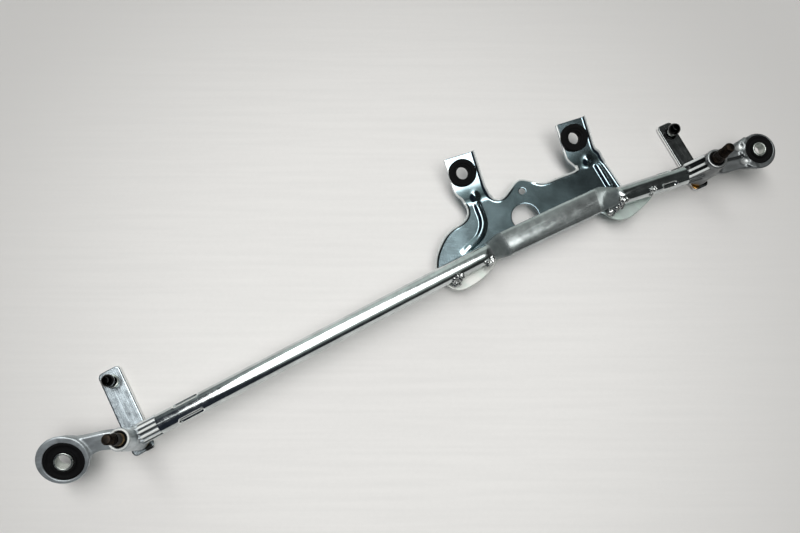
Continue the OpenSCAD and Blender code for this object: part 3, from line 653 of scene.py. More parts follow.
def finish(name):
    """The material of that name, made when it is first asked for."""
    if name not in FINISHES:
        c = sizes("finishes")
        makers = {
            "tube_zinc": lambda: zinc(name, c.tube_zinc, 0.10, math.radians(-9), 0.4, 0.22),
            "plate_zinc": lambda: plate_zinc(name, c.plate_zinc, c.lobe),
            "left_casting": lambda: casting(name, c.left_casting, 0.36),
            "right_casting": lambda: casting(name, c.right_casting, 0.26),
            "rubber": lambda: rubber(name, c.rubber),
            "sleeve_zinc": lambda: zinc(name, c.sleeve, 0.28, 0.0, 0.2, 0.2),
            "bronze": lambda: oiled_metal(name, c.bronze, 0.42, (0.22, 0.14, 0.06)),
            "spindle_steel": lambda: spindle_steel(name, c.spindle, c.bronze),
            "dark_steel": lambda: oiled_metal(name, c.dark_steel, 0.34, (0.1, 0.08, 0.06)),
            "black_steel": lambda: ball_steel(name, c.ball, c.sleeve),
            "left_lever_zinc": lambda: zinc(name, c.left_lever, 0.24, math.radians(-101), 0.12, 0.55, LEFT_STAINS),
            "right_lever_zinc": lambda: zinc(name, c.right_lever, 0.20, math.radians(-97), 0.12, 0.3, RIGHT_STAINS),
            "weld": lambda: zinc(name, c.weld, 0.24, 0.0, 0.2, 0.5),
        }
        FINISHES[name] = makers[name]()
    return FINISHES[name]


# Cross tube

FLAT_ENDS = np.array([[-36.5, -23], [81.5, -8.4]])*MM
# How far south of the flat's own line the left round length ends
FLAT_DROP = 1.7*MM
# What the flat adds to the power of a round section, and how dull it is
FLAT_SQUARE = 0.1
FLAT_DULL = 0.35
# Rounding of the bends of a blend, as a share of its length, and of the path, in rows to each side
BLEND_SOFT = 0.3
PATH_SOFT = 12
# Rows of points in the crimped left end, the rest of the left length, its blend, the flat, and the right ones
CRIMPED_END = 60*MM
TUBE_ROWS = (110, 60, 40, 40, 40, 130)
TUBE_AROUND = 112
# Start and length of the crimps, in millimetres from each end of the tube, and their angles round it in degrees
CRIMPS = {"left": (18.5, 26, (52, 180, 308)), "right": (14, 16, (42, 170, 298))}
CRIMP_LIP = 0.2*MM


def tube_stations():
    """Ends of the left and right round lengths of the tube, from left to right, and the height of its underside."""
    t = sizes("tube")
    heading = (FLAT_ENDS[1] - FLAT_ENDS[0])/np.linalg.norm(FLAT_ENDS[1] - FLAT_ENDS[0])
    round_left = FLAT_ENDS[0] - t.blend*heading - np.array([0, FLAT_DROP])
    round_right = np.array([FLAT_ENDS[1, 0] + t.blend, PIVOT["right"][1]])
    run = round_left - PIVOT["left"][:2]
    left_end = PIVOT["left"][:2] + run/np.linalg.norm(run)*t.left_gap
    right_end = PIVOT["right"][:2] - np.array([t.right_gap, 0])
    return left_end, round_left, round_right, right_end, sizes("bracket").plate


def cross_tube():
    """Tube as a section carried along its path: a superellipse whose width, height and power go from the round
    tube to the flattened one over each blend, dented by crimps near both ends. Each point also carries a painted
    highlight on the lips of the crimps, and is dulled on the flattened length and most of all on its blends."""
    t = sizes("tube")
    left_end, round_left, round_right, right_end, plate = tube_stations()
    knots = np.array([left_end, round_left, FLAT_ENDS[0], FLAT_ENDS[1], round_right, right_end])
    at = np.concatenate([[0], np.cumsum(np.linalg.norm(np.diff(knots, axis=0), axis=1))])
    ends = [at[0], at[0] + CRIMPED_END, *at[1:]]
    rows = [np.linspace(a, b, n, endpoint=False) for a, b, n in zip(ends[:-2], ends[1:-1], TUBE_ROWS)]
    s = np.concatenate([*rows, np.linspace(*ends[-2:], TUBE_ROWS[-1])])
    middle = np.stack([np.interp(s, at, knots[:, k]) for k in (0, 1)], axis=1)
    soft = np.exp(-(2*np.arange(-PATH_SOFT, PATH_SOFT + 1)/PATH_SOFT)**2)
    soft /= soft.sum()
    heading = np.pad(np.gradient(middle, s, axis=0), ((PATH_SOFT, PATH_SOFT), (0, 0)), "edge")
    heading = np.stack([np.convolve(heading[:, k], soft, "valid") for k in (0, 1)], axis=1)
    heading /= np.linalg.norm(heading, axis=1)[:, None]
    climb = np.minimum((s - at[1])/(at[2] - at[1]), (at[4] - s)/(at[4] - at[3]))
    flat = bend(climb, BLEND_SOFT)
    width = t.od + flat*(t.flat_width - t.od)
    height = t.od + flat*(t.flat_height - t.od)
    power = 2 + FLAT_SQUARE*flat[:, None]
    angle = np.linspace(0, 2*np.pi, TUBE_AROUND, endpoint=False)[None, :]
    across, up = (np.sign(wave)*np.abs(wave)**(2/power) for wave in (np.cos(angle), np.sin(angle)))
    dent, lip = crimp_dents(s, at[-1], angle)
    across = across*(width[:, None]/2 - dent)
    up = up*(height[:, None]/2 - dent)
    lean = (t.flat_lean*flat)[:, None]
    across, up = across*np.cos(lean) - up*np.sin(lean), up*np.cos(lean) + across*np.sin(lean)
    left = np.stack([-heading[:, 1], heading[:, 0]], axis=1)
    xy = middle[:, None, :] + across[..., None]*left[:, None, :]
    axis = plate + np.hypot(width/2*np.sin(lean[:, 0]), height/2*np.cos(lean[:, 0]))
    outer = np.concatenate([xy, (axis[:, None] + up)[..., None]], axis=-1)
    centre = np.concatenate([middle, axis[:, None]], axis=1)[:, None, :].repeat(TUBE_AROUND, axis=1)
    reach = np.linalg.norm(outer - centre, axis=-1, keepdims=True)
    inner = centre + (outer - centre)*(1 - t.wall/reach)
    points = np.concatenate([outer, inner[::-1]])
    dull = np.maximum(ease((climb + 0.15)/0.3)*ease((1.5 - climb)/0.4), FLAT_DULL*flat)
    # Painted highlight on the crimp lips, less the dulling
    painted_light_and_dull = np.concatenate([lip - dull[:, None], 0*lip])
    return points.reshape(-1, 3), grid_faces(2*len(s), TUBE_AROUND, True, True), painted_light_and_dull.ravel()


def crimp_dents(s, total, angle):
    """Depth of the crimps, and where their lips are: stadium-shaped dents on the unrolled tube, flat at the bottom,
    with a low lip round each."""
    t = sizes("tube")
    dent, lip = (np.zeros((len(s), angle.shape[1])) for _ in range(2))
    half = t.crimp_width/2
    for side, (start, run, turns) in CRIMPS.items():
        along = s if side == "left" else total - s
        past = np.maximum(np.abs(along - (start + run/2)*MM) - run/2*MM + half, 0)[:, None]
        for turn in turns:
            gap = np.abs((angle - math.radians(90 + turn) + np.pi) % (2*np.pi) - np.pi)*t.od/2
            edge = np.hypot(past, gap) - half
            dent = np.maximum(dent, t.crimp_depth*ease(-edge/(1.2*MM)))
            lip = np.maximum(lip, np.exp(-((edge - 0.4*MM)/(0.7*MM))**2))
    return dent - CRIMP_LIP*lip, lip


class WIPER_OT_cross_tube(bpy.types.Operator):
    """Build the bent, flattened and crimped cross tube"""
    bl_idname = "wiper.cross_tube"
    bl_label = "Cross tube"

    def execute(self, context):
        points, quads, painted_light_and_dull = cross_tube()
        add_piece("cross_tube", (points, quads), "frame", "tube_zinc", "main_tube", 50, painted_light_and_dull)
        return {"FINISHED"}


# Motor bracket

# Edges of the plate and ridges of its beads, in millimetres from the shaft hole
WEST_SIDE = [[-57.6, 35], [-56.8, 30], [-57.5, 23.3], [-61.8, 17.7], [-68.7, 14.2], [-78.6, 11.6], [-88.1, 6.7],
             [-96.4, -0.9], [-104.3, -10.8], [-109, -21], [-110, -27]]
WEST_LOBE = [[-110, -27], [-109, -37], [-104, -44], [-99.5, -49.5], [-90.5, -53.4], [-76, -51.6], [-57, -44.5],
             [-42, -33]]
EAST_LOBE = [[72, -18], [80.6, -23.4], [85.5, -29.5], [94, -35], [105.5, -35.6], [119, -30.8], [133.5, -24],
             [139, -18], [133, -11], [118, -6.5], [111, -2]]
EAST_SIDE = [[111, -2], [109.6, 2.5], [106.9, 17.5], [103.6, 32], [102.6, 35]]
NORTH_EDGE = [[72, 35], [70.4, 32.6], [66, 31.1], [50, 30.2], [36, 29.2], [29, 30.4], [20.4, 36.1], [12.5, 40.6],
              [7, 41.4], [1.5, 39.2], [-4.1, 35.2], [-12, 29.5], [-18.7, 27], [-23.8, 28.8], [-26.6, 32], [-28, 35]]
BEADS = [[[-44, 33], [-44, 24], [-44.2, 12], [-47, 3], [-54.5, -6], [-66, -12], [-79, -17.5]],
         [[94.4, 33], [96.6, 17], [98.8, 1]]]
# Width of a tab, the lip east of it, its north end and the feet of its edges, in millimetres
TAB_WIDTH = 29.5
TAB_LIP = 4.6
TAB_END = 81.5
TAB_FEET = {"left": ([[-62.4, 42], [-58.6, 37.5], [-57, 32.5]], [[-29.8, 41], [-26.6, 32]]),
            "right": ([[64, 42], [68.5, 36.5], [72, 32.5]], [[100.4, 42], [103.6, 32]])}
# The plate stays level between these x; the folds climb between the y of FOLD
TAB_GAP = (-20*MM, 52*MM)
FOLD = (33*MM, 45*MM)
FOLD_SOFT = 3*MM
DIMPLE_SHIFT = {"left": 6*MM, "right": 8*MM}
DIMPLE_HEIGHT = 2.2*MM
STEEP_GRID = 0.5*MM


def tab_rows(side):
    """West and east edges of a tab, from its end down into the plate."""
    x = TAB[side][0]/MM
    edges = x - TAB_WIDTH/2, x + TAB_WIDTH/2 + TAB_LIP
    return [[[edge, TAB_END], [edge, 64], [edge, 48], *foot] for edge, foot in zip(edges, TAB_FEET[side])]


def tab_lift(y):
    """Height of a tab over the plate: flat, then up the fold, then sloping on, with the two bends rounded."""
    b = sizes("bracket")
    climb = b.tab_rise/(FOLD[1] - FOLD[0])
    tab = b.tab_rise + math.tan(b.tab_slope)*(y - FOLD[1])
    return meet(np.zeros_like(y), join(climb*(y - FOLD[0]), tab, FOLD_SOFT), FOLD_SOFT)


def bracket_field():
    """Distance field of the pressing, and how near a place is to a rim: a plate of even thickness about a middle
    surface, inside its outline. The middle surface is flat, climbs at the folds to the tabs, curls up along the
    rims and flanges, swells over the beads and is dimpled across the folds."""
    b = sizes("bracket")
    rows = [smooth_row(r, 4) for r in (WEST_SIDE, WEST_LOBE, EAST_LOBE, EAST_SIDE, NORTH_EDGE)]
    plate = np.vstack([r[:-1] for r in rows])
    tabs = {s: [smooth_row(r, 4) for r in tab_rows(s)] for s in SIDES}
    rims = [rows[0][3:], rows[3], rows[4][1:-1]]
    beads = [smooth_row(r, 5) for r in BEADS]
    bolt = np.array(MOUNTS["motor_fixing_hole"]["pos_m"])
    holes = [(0.0, 0.0, MOUNTS["motor_shaft_hole"]["dims"]["r_mm"]*MM),
             (bolt[0], bolt[1], MOUNTS["motor_fixing_hole"]["dims"]["r_mm"]*MM)]

    def rim_crest(x, y):
        crest = np.zeros(np.broadcast(x, y).shape)
        for row in (*rims, *tabs["left"], *tabs["right"]):
            gap, _ = row_distance(x, y, row)
            crest = np.maximum(crest, ease((2.3*MM - gap)/(0.9*MM)))
        return crest

    def curl(x, y, row, height, width):
        gap, _ = row_distance(x, y, row)
        return height*np.clip(1 - gap/width, 0, 1)**2

    def middle(x, y):
        tab = np.maximum(ease((TAB_GAP[0] - x)/(5*MM)), ease((x - TAB_GAP[1])/(5*MM)))
        rise = tab_lift(y + 0*x)*tab
        for rim in rims:
            rise = rise + curl(x, y, rim, b.rim_height, b.rim_width)*ease((FOLD[0] + 3*MM - y)/(6*MM))
        for _, east in tabs.values():
            rise = rise + curl(x, y, east, b.flange_height, b.flange_width)*ease((y - FOLD[0] + 4*MM)/(6*MM))
        for bead in beads:
            gap, place = row_distance(x, y, bead)
            run_out = ease(np.minimum(place, 1 - place)*6)
            rise = rise + b.bead_height*run_out*np.cos(np.clip(gap/b.bead_width, 0, 0.5)*np.pi)**2
        for side in SIDES:
            east = x - TAB[side][0] - DIMPLE_SHIFT[side]
            rise = rise + DIMPLE_HEIGHT*np.exp(-(east/(3.4*MM))**2 - ((y - 37*MM)/(4*MM))**2)
        return rise + b.plate/2

    low, high = (np.array(c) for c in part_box("motor_bracket"))
    axes = [np.arange(start - 3*MM, end + 3*MM, STEEP_GRID) for start, end in zip(low[:2], high[:2])]
    steepness = np.hypot(*np.gradient(middle(axes[0][:, None], axes[1][None, :]), STEEP_GRID))

    def field(x, y, z):
        edge = outline_distance(x, y, plate)
        for west, east in tabs.values():
            edge = join(edge, outline_distance(x, y, np.vstack([west, east[::-1]])), 2*MM)
        for cx, cy, r in holes:
            edge = meet(edge, r - np.hypot(x - cx, y - cy), 0.2*MM)
        steep = lookup(steepness, axes, x, y)
        solid = meet(np.abs(z - middle(x, y))/np.hypot(1, steep) - b.plate/2, edge, 0.9*MM)
        for side in SIDES:
            tab = TAB[side]
            across = (y - tab[1])*math.cos(b.tab_slope) + (z - tab[2])*math.sin(b.tab_slope)
            solid = meet(solid, b.tab_hole/2 - np.hypot(x - tab[0], across), 0.3*MM)
        return solid

    return field, rim_crest


class WIPER_OT_motor_bracket(bpy.types.Operator):
    """Build the pressed motor bracket with its rims, beads and tabs"""
    bl_idname = "wiper.motor_bracket"
    bl_label = "Motor bracket"

    def execute(self, context):
        low, high = (np.array(c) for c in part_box("motor_bracket"))
        field, crest = bracket_field()
        surface = skin(field, low - 1.5*MM, high + 1.5*MM, sizes("bracket").grid)
        # Painted highlights on the upward-facing crests of the rims and tab edges
        painted_light_and_dull = crest(*surface[0].T[:2])*ease(surface[2][:, 2]*2)
        add_piece("bracket_pressing", surface, "frame", "plate_zinc", "motor_bracket", painted_light_and_dull=painted_light_and_dull)
        return {"FINISHED"}


# Place and radius of each weld, in millimetres
WELDS = [(-93, -41.6, 18.2, 5.0), (-89.6, -41.2, 17.2, 4.0), (-96.5, -42.4, 15.6, 4.0), (-94.6, -45.6, 6.5, 4.5),
         (-57.5, -36.4, 17.2, 4.5), (-53.6, -35.4, 17.0, 4.0), (-55.4, -37.2, 12.5, 3.25), (97.6, -19.0, 20.0, 4.0),
         (100.8, -19.4, 19.0, 3.5), (95.8, -21.6, 15.6, 4.25), (91.6, -23.4, 11.0, 4.0), (86.9, -24.6, 7.6, 4.25),
         (131.4, -18.8, 20.2, 3.25), (134.4, -18.4, 20.0, 2.75), (129.8, -20.6, 16.0, 3.0)]
# Height of each wave on a weld, its count over and round the ball, and how it fades towards the poles
WELD_WAVES = ((0.16, 0, 2, 1), (0.12, 3, 0, 0), (0.12, 0, 5, 2), (0.10, 4, 3, 1), (0.07, 9, 4, 1), (0.06, -5, 8, 2))
WELD_ROWS, WELD_AROUND = 25, 48
WELD_FLAT = 0.8


def weld_bead(seed, place, radius):
    """Lumpy bead of weld metal: a flattened ball whose radius swells and dips with a few waves round and over it."""
    phases = np.random.default_rng(seed).uniform(0, 2*np.pi, len(WELD_WAVES))
    u = np.linspace(0, np.pi, WELD_ROWS)[:, None]
    v = np.linspace(0, 2*np.pi, WELD_AROUND, endpoint=False)[None, :]
    lump = 1
    for (height, over, around, fade), phase in zip(WELD_WAVES, phases):
        lump = lump + height*np.sin(over*u + around*v + phase)*np.sin(u)**fade
    r = radius*lump
    points = np.stack([r*np.sin(u)*np.cos(v), r*np.sin(u)*np.sin(v), WELD_FLAT*r*np.cos(u)], axis=-1)
    return points.reshape(-1, 3) + place, grid_faces(WELD_ROWS, WELD_AROUND, False, True)


class WIPER_OT_welds(bpy.types.Operator):
    """Build the weld beads between bracket and tube"""
    bl_idname = "wiper.welds"
    bl_label = "Welds"

    def execute(self, context):
        for k, (x, y, z, r) in enumerate(WELDS):
            surface = weld_bead(k, np.array([x, y, z])*MM, r*MM)
            add_piece(f"weld_{k + 1}", surface, "frame", "plate_zinc", look="weld")
        return {"FINISHED"}


# Pivot housings

# Edges of the arms, in millimetres from the eye
ARM_NORTH = {"left": [[6, 21.6], [11.2, 20], [18.8, 17.4], [29.7, 15.6], [41.7, 14.4], [51, 12.2], [58, 9.4]],
             "right": [[-56, 9.4], [-47, 10.6], [-35, 11.4], [-21.8, 14.1], [-10.2, 17]]}
ARM_SOUTH = {"left": [[15, -15], [18.8, -10], [23.2, -5.1], [28.7, -2.8], [34.8, -2.6], [40.2, -4], [48, -5.6],
                      [58, -7]],
             "right": [[-56, -9.6], [-50, -11.6], [-41.7, -13.4], [-27.2, -14], [-13.5, -16.6], [-10, -17.4]]}
# How far the rim of an eye lies off its rubber
RIM_SHIFT = {"left": (-0.9*MM, 1.4*MM), "right": (-1.3*MM, -1.4*MM)}
EYE_RADIUS = {"left": 23.95*MM, "right": 18.8*MM}
EYE_WALL = 1.2*MM
FLUTES = 12
# Middle of a spigot past the tube's end, and half its length
SPIGOT = (22*MM, 24*MM)
# Pockets in the right arm, in millimetres from the eye; ribs of the right slope, across the collar
POCKETS = [(-20.8, 8.2), (-19.6, -7.2)]
POCKET_STRETCH = 1.3
RIB_ROWS = (5.4, -0.5, -8.2)
RIB_MIDDLE = -1.3*MM


def ribbed_slope(u, v, w, gap):
    """Distance field of the slope that climbs from the tube end of a collar to its boss, with three round ribs;
    and its painted light, from a painted highlight of 1 on the crests of the ribs to painted shade of -1 in the
    hollows between them."""
    h = sizes("housing")
    tube_z = sizes("bracket").plate + sizes("tube").od/2
    foot = np.array([gap - 1.5*MM, h.collar/2 - 1.2*MM - h.rib_radius])
    head = np.array([h.boss/2 - 2.3*MM, h.rib_top - tube_z - h.rib_radius])
    reach = np.linalg.norm(head - foot)
    along = (head - foot)/reach
    s = (u - foot[0])*along[0] + (w - foot[1])*along[1]
    above = (w - foot[1])*-along[0] + (u - foot[0])*along[1]
    aside = np.abs(v - RIB_MIDDLE)
    ends = np.maximum(np.maximum(u - foot[0], -u), np.maximum(w - head[1], -w))
    wedge = meet(above + 0.4*MM, np.maximum(aside - 8.3*MM, ends), 2*MM)
    for row in RIB_ROWS:
        rib = np.sqrt((s - np.clip(s, 0, reach))**2 + above**2 + (v - row*MM)**2) - h.rib_radius
        wedge = join(wedge, rib, 0.8*MM)
    crest = np.max([ease((1.7*MM - np.abs(v - row*MM))/(0.6*MM)) for row in RIB_ROWS], axis=0)
    slope = ease((above + 1.2*MM)/(0.4*MM))*ease((2.4*MM - above)/(0.4*MM))*ease((reach + 1*MM - s)/(1*MM))
    return wedge, slope*ease((10*MM - aside)/(1*MM))*(2*crest - 1)


def arm_groove(ex, ey):
    """Distance across the groove in the right arm, which runs slightly askew, and past its ends."""
    return ey + 1.2*MM + (ex + 30*MM)*0.07, np.abs(ex + 33*MM) - 14*MM


def housing_field(side):
    """Distance field of one casting: boss, fluted collar, spigot, sloped arm and eye, joined with fillets, less the
    bush bore, the recess at the top of the boss, the rubber's bore and, on the right, two pockets and a groove.
    And its painted light: painted highlights on the ribs, the top of the boss and the right arm's pockets, and
    painted shade in the hollows and the right arm's groove."""
    h, t, r = sizes("housing"), sizes("tube"), sizes("rubber")
    pivot, eye, slope = PIVOT[side], EYE[side], EYE_SLOPE[side]
    top = BOSS_TOP[side]
    left_end, _, _, right_end, plate = tube_stations()
    tube_z = plate + t.od/2
    end = left_end if side == "left" else right_end
    gap = np.linalg.norm(end - pivot[:2])
    heading = (end - pivot[:2])/gap
    north = smooth_row(ARM_NORTH[side], 5)
    south = smooth_row(ARM_SOUTH[side], 5)
    reach = north[0, 0], north[-1, 0]
    rubber_r = getattr(r, f"{side}_eye")/2
    rim_r = EYE_RADIUS[side]
    sx, sy = RIM_SHIFT[side]
    half = h.eye_height/2
    taper = (rim_r - math.hypot(sx, sy) - 0.4*MM - rubber_r - EYE_WALL)/(h.eye_height - h.rim_depth)

    def collar_frame(x, y, z):
        """Distance from the spindle towards the tube, to the left of that, and above the tube's axis."""
        dx, dy = x - pivot[0], y - pivot[1]
        return dx*heading[0] + dy*heading[1], dy*heading[0] - dx*heading[1], z - tube_z

    def eye_frame(x, y, z):
        """Place east, north and up from the eye's centre, with its slope taken out."""
        dy, dz = y - eye[1], z - eye[2]
        return x - eye[0], dy*math.cos(slope) + dz*math.sin(slope), dz*math.cos(slope) - dy*math.sin(slope)

    def field(x, y, z):
        radial = np.hypot(x - pivot[0], y - pivot[1])
        boss = meet(radial - h.boss/2, np.abs(z - (top + BOSS_BOTTOM)/2) - (top - BOSS_BOTTOM)/2, 2.6*MM)
        u, v, w = collar_frame(x, y, z)
        rho = np.hypot(v, w)
        ribs = (0.5 + 0.5*np.cos(FLUTES*np.arctan2(v, w)))**0.6
        flute = h.flute_depth*(1 - ribs)*ease((u - h.boss/2 + 2*MM)/(2*MM))
        collar = meet(rho - h.collar/2 + flute, np.abs(u - gap/2) - gap/2, 1.0*MM)
        spigot = meet(rho - (t.od/2 - t.wall - 0.1*MM), np.abs(u - gap - SPIGOT[0]) - SPIGOT[1], 0.5*MM)
        ex, ey, ez = eye_frame(x, y, z)
        from_rim = np.hypot(ex - sx, ey - sy)
        from_axis = np.hypot(ex, ey)
        rim = meet(from_rim - rim_r, np.abs(ez - half + h.rim_depth/2) - h.rim_depth/2, 1.6*MM)
        under = np.abs(ez + h.rim_depth/2) - half + h.rim_depth/2 - 0.2*MM
        body = meet(from_axis - rubber_r - EYE_WALL - taper*(ez + half), under, 1*MM)
        eye_body = join(rim, body, 2*MM)
        bounds = np.maximum(ey - np.interp(ex, *north.T), np.interp(ex, *south.T) - ey)
        ends = np.maximum(ex - reach[1], reach[0] - ex)
        arm = meet(np.maximum(bounds*0.96, ends), np.abs(ez + 0.5*MM) - 4.1*MM, 2.2*MM)
        if side == "left":
            hollow = meet(meet(bounds + 3*MM, ez + 1.4*MM, 1.5*MM), ends + 9*MM, 1*MM)
            arm = meet(arm, -hollow, 0.8*MM)
        else:
            collar = join(collar, ribbed_slope(u, v, w, gap)[0], 0.8*MM)
        solid = join(join(boss, collar, h.fillet*0.3), arm, h.fillet)
        solid = join(join(solid, eye_body, h.fillet*0.8), spigot, 0.3*MM)
        if side == "right":
            for px, py in POCKETS:
                dish = np.sqrt(((ex - px*MM)/POCKET_STRETCH)**2 + (ey - py*MM)**2 + (ez - 9*MM)**2) - 5.9*MM
                solid = meet(solid, -dish, 1.2*MM)
            across, past = arm_groove(ex, ey)
            groove = np.hypot(across, ez - 4.6*MM) - 1.9*MM
            solid = meet(solid, -meet(groove, past, 1*MM), 1.0*MM)
        solid = meet(solid, rubber_r - from_axis, 0.7*MM)
        solid = meet(solid, h.bore/2 - radial, 0.4*MM)
        recess = np.maximum(radial - h.counterbore/2, top - h.counterbore_depth - z)
        return meet(solid, -recess, 0.5*MM)

    # Painted highlights on ribs, boss land and pockets, and painted shade in hollows and the groove
    def painted_light_and_dull(x, y, z):
        u, v, w = collar_frame(x, y, z)
        radial = np.hypot(x - pivot[0], y - pivot[1])
        land = ease((z - top + 0.9*MM)/(0.4*MM))*ease((1.3*MM - np.abs(radial - 9.2*MM))/(0.8*MM))
        if side == "left":
            ridge = np.clip(1.6*np.cos(FLUTES*np.arctan2(v, w)), -1, 1)
            ridge = ridge*ease((u - h.boss/2 - 1*MM)/(2*MM))*ease((gap - u)/(0.5*MM))
            return ridge*ease((2*MM - np.abs(np.hypot(v, w) - h.collar/2 + 0.5*MM))/(0.5*MM)) + land
        ex, ey, ez = eye_frame(x, y, z)
        pocket = np.max([ease((4*MM - np.hypot((ex - px*MM)/POCKET_STRETCH, ey - py*MM))/(1.5*MM))
                         for px, py in POCKETS], axis=0)
        across, past = arm_groove(ex, ey)
        groove = ease((2*MM - np.abs(across))/(1*MM))*ease(-past/(2*MM))
        return ribbed_slope(u, v, w, gap)[1] + land*0.3 + (0.4*pocket - 0.8*groove)*ease(ez/(1*MM))

    return field, painted_light_and_dull


class WIPER_OT_pivot_housings(bpy.types.Operator):
    """Build the two die-cast pivot housings"""
    bl_idname = "wiper.pivot_housings"
    bl_label = "Pivot housings"

    def execute(self, context):
        for side in SIDES:
            node = f"{side}_pivot_housing"
            low, high = (np.array(c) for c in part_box(node))
            field, painted_light_and_dull = housing_field(side)
            surface = skin(field, low - 1.5*MM, high + 1.5*MM, sizes("housing").grid)
            add_piece(f"{side}_casting", surface, "frame", f"{side}_casting", node, painted_light_and_dull=painted_light_and_dull(*surface[0].T))
        return {"FINISHED"}


# Rubbers and sleeves

TAB_PLAY = 0.05*MM


class WIPER_OT_eye_rubbers(bpy.types.Operator):
    """Build the rubber rings in the eyes and their metal sleeves"""
    bl_idname = "wiper.eye_rubbers"
    bl_label = "Eye rubbers"

    def execute(self, context):
        r = sizes("rubber")
        half = sizes("housing").eye_height/2
        for side in SIDES:
            outer, inner = getattr(r, f"{side}_eye")/2, getattr(r, f"{side}_sleeve")/2
            bore = MOUNTS[f"{side}_eye_bore"]["dims"]["r_mm"]*MM
            g = (outer - inner)/5
            tall = half + r.proud
            upper = [[inner, tall - 0.6*MM], [inner + g, tall - 0.2*MM], [inner + 1.6*g, half - 1.2*MM],
                     [outer - 2*g, half - 1.2*MM], [outer - 1.2*g, half - 0.1*MM], [outer, half - 0.6*MM]]
            lower = [[a, -b] for a, b in upper[::-1]]
            points, quads = revolve(rounded(upper + lower, 0.9*MM, 5))
            add_piece(f"{side}_eye_rubber", (move(points, EYE[side], EYE_SLOPE[side]), quads), "frame", "rubber",
                      f"{side}_eye_grommet")
            ring = [[bore, -tall], [inner, -tall], [inner, tall], [bore, tall]]
            points, quads = revolve(rounded(ring, 0.6*MM, 4))
            add_piece(f"{side}_sleeve", (move(points, EYE[side], EYE_SLOPE[side]), quads), "frame", "sleeve_zinc",
                      f"{side}_eye_sleeve", 40)
        return {"FINISHED"}


class WIPER_OT_tab_rubbers(bpy.types.Operator):
    """Build the spool-shaped rubbers in the tabs"""
    bl_idname = "wiper.tab_rubbers"
    bl_label = "Tab rubbers"

    def execute(self, context):
        r, b = sizes("rubber"), sizes("bracket")
        plate = b.plate*math.cos(b.tab_slope)
        top = plate + r.tab_top_height
        for side in SIDES:
            bore = MOUNTS[f"{side}_tab_bore"]["dims"]["r_mm"]*MM
            neck = b.tab_hole/2 - TAB_PLAY
            outline = [[bore, -r.tab_low_height], [r.tab_low/2, -r.tab_low_height], [r.tab_low/2, -TAB_PLAY],
                       [neck, -TAB_PLAY], [neck, plate + TAB_PLAY], [r.tab_top/2, plate + TAB_PLAY],
                       [r.tab_top/2, top], [bore + 3.2*MM, top], [bore + 2.6*MM, top - 0.7*MM],
                       [bore, top - 0.7*MM]]
            points, quads = revolve(rounded(outline, 1.3*MM, 6))
            add_piece(f"{side}_tab_rubber", (move(points, TAB[side], b.tab_slope), quads), "frame", "rubber",
                      f"{side}_tab_grommet")
        return {"FINISHED"}


# Cranks

LEVER_WIDTH = {"left": 23.6*MM, "right": 18.6*MM}
ARM_LENGTH = {"left": 65.5*MM, "right": 56.5*MM}
ARM_ANGLE = {"left": math.radians(101), "right": math.radians(96.5)}
LEVER_GRID = 0.5*MM
SPINDLE_FOOT = 3*MM
SPLINES, SPLINE_DEPTH = 40, 0.22*MM
THREAD_ROWS, THREAD_DEPTH = 90, 0.5*MM
SPINDLE_AROUND = 160
BALL_CUT = 0.8*MM


class WIPER_OT_spindles(bpy.types.Operator):
    """Build the spindles with their splined cones and threaded tips"""
    bl_idname = "wiper.spindles"
    bl_label = "Spindles"

    def execute(self, context):
        c = sizes("crank")
        for side in SIDES:
            top = BOSS_TOP[side]
            tip, foot = top + c.spindle_above, top + SPINDLE_FOOT
            thread = tip - c.tip_length
            r, tip_r = c.spindle/2, c.tip/2
            cone = np.linspace(foot + 0.6*MM, thread - 1.6*MM, 12)
            spline = np.stack([np.interp(cone, (cone[0], cone[-1]), (r - 0.25*MM, tip_r + 0.35*MM)), cone], axis=1)
            pitch = np.linspace(thread + 0.4*MM, tip - 1.3*MM, THREAD_ROWS)
            ridge = np.stack([np.full(THREAD_ROWS, tip_r - 0.25*MM), pitch], axis=1)
            shank = [[0, LEVER_LOW], [c.rivet/2 - 0.5*MM, LEVER_LOW], [c.rivet/2, LEVER_LOW + 0.5*MM],
                     [c.rivet/2, LEVER_TOP], [r, LEVER_TOP], [r, foot], [r - 0.25*MM, foot + 0.4*MM]]
            waist = [[tip_r - 0.5*MM, thread - 0.9*MM], [tip_r - 0.5*MM, thread - 0.1*MM]]
            point = [[tip_r - 1.2*MM, tip - 0.1*MM], [tip_r - 1.7*MM, tip], [0, tip]]
            profile = np.vstack([shank, spline, waist, ridge, point])

            def ripple(angle, height):
                teeth = ease((height - foot - 0.6*MM)/(0.4*MM))*ease((thread - 1.5*MM - height)/(0.4*MM))
                wind = ease((height - thread - 0.3*MM)/(0.3*MM))*ease((tip - 1.2*MM - height)/(0.3*MM))
                turn = np.abs(((height - thread)/c.thread_pitch - angle/(2*np.pi)) % 1 - 0.5)*2
                return teeth*SPLINE_DEPTH*np.cos(SPLINES*angle) + wind*THREAD_DEPTH*(turn - 0.5)

            points, quads = revolve(profile, SPINDLE_AROUND, ripple)
            add_piece(f"{side}_pivot_spindle", (points + PIVOT[side]*[1, 1, 0], quads), f"{side}_crank",
                      "spindle_steel", f"{side}_spindle", 35)
        return {"FINISHED"}


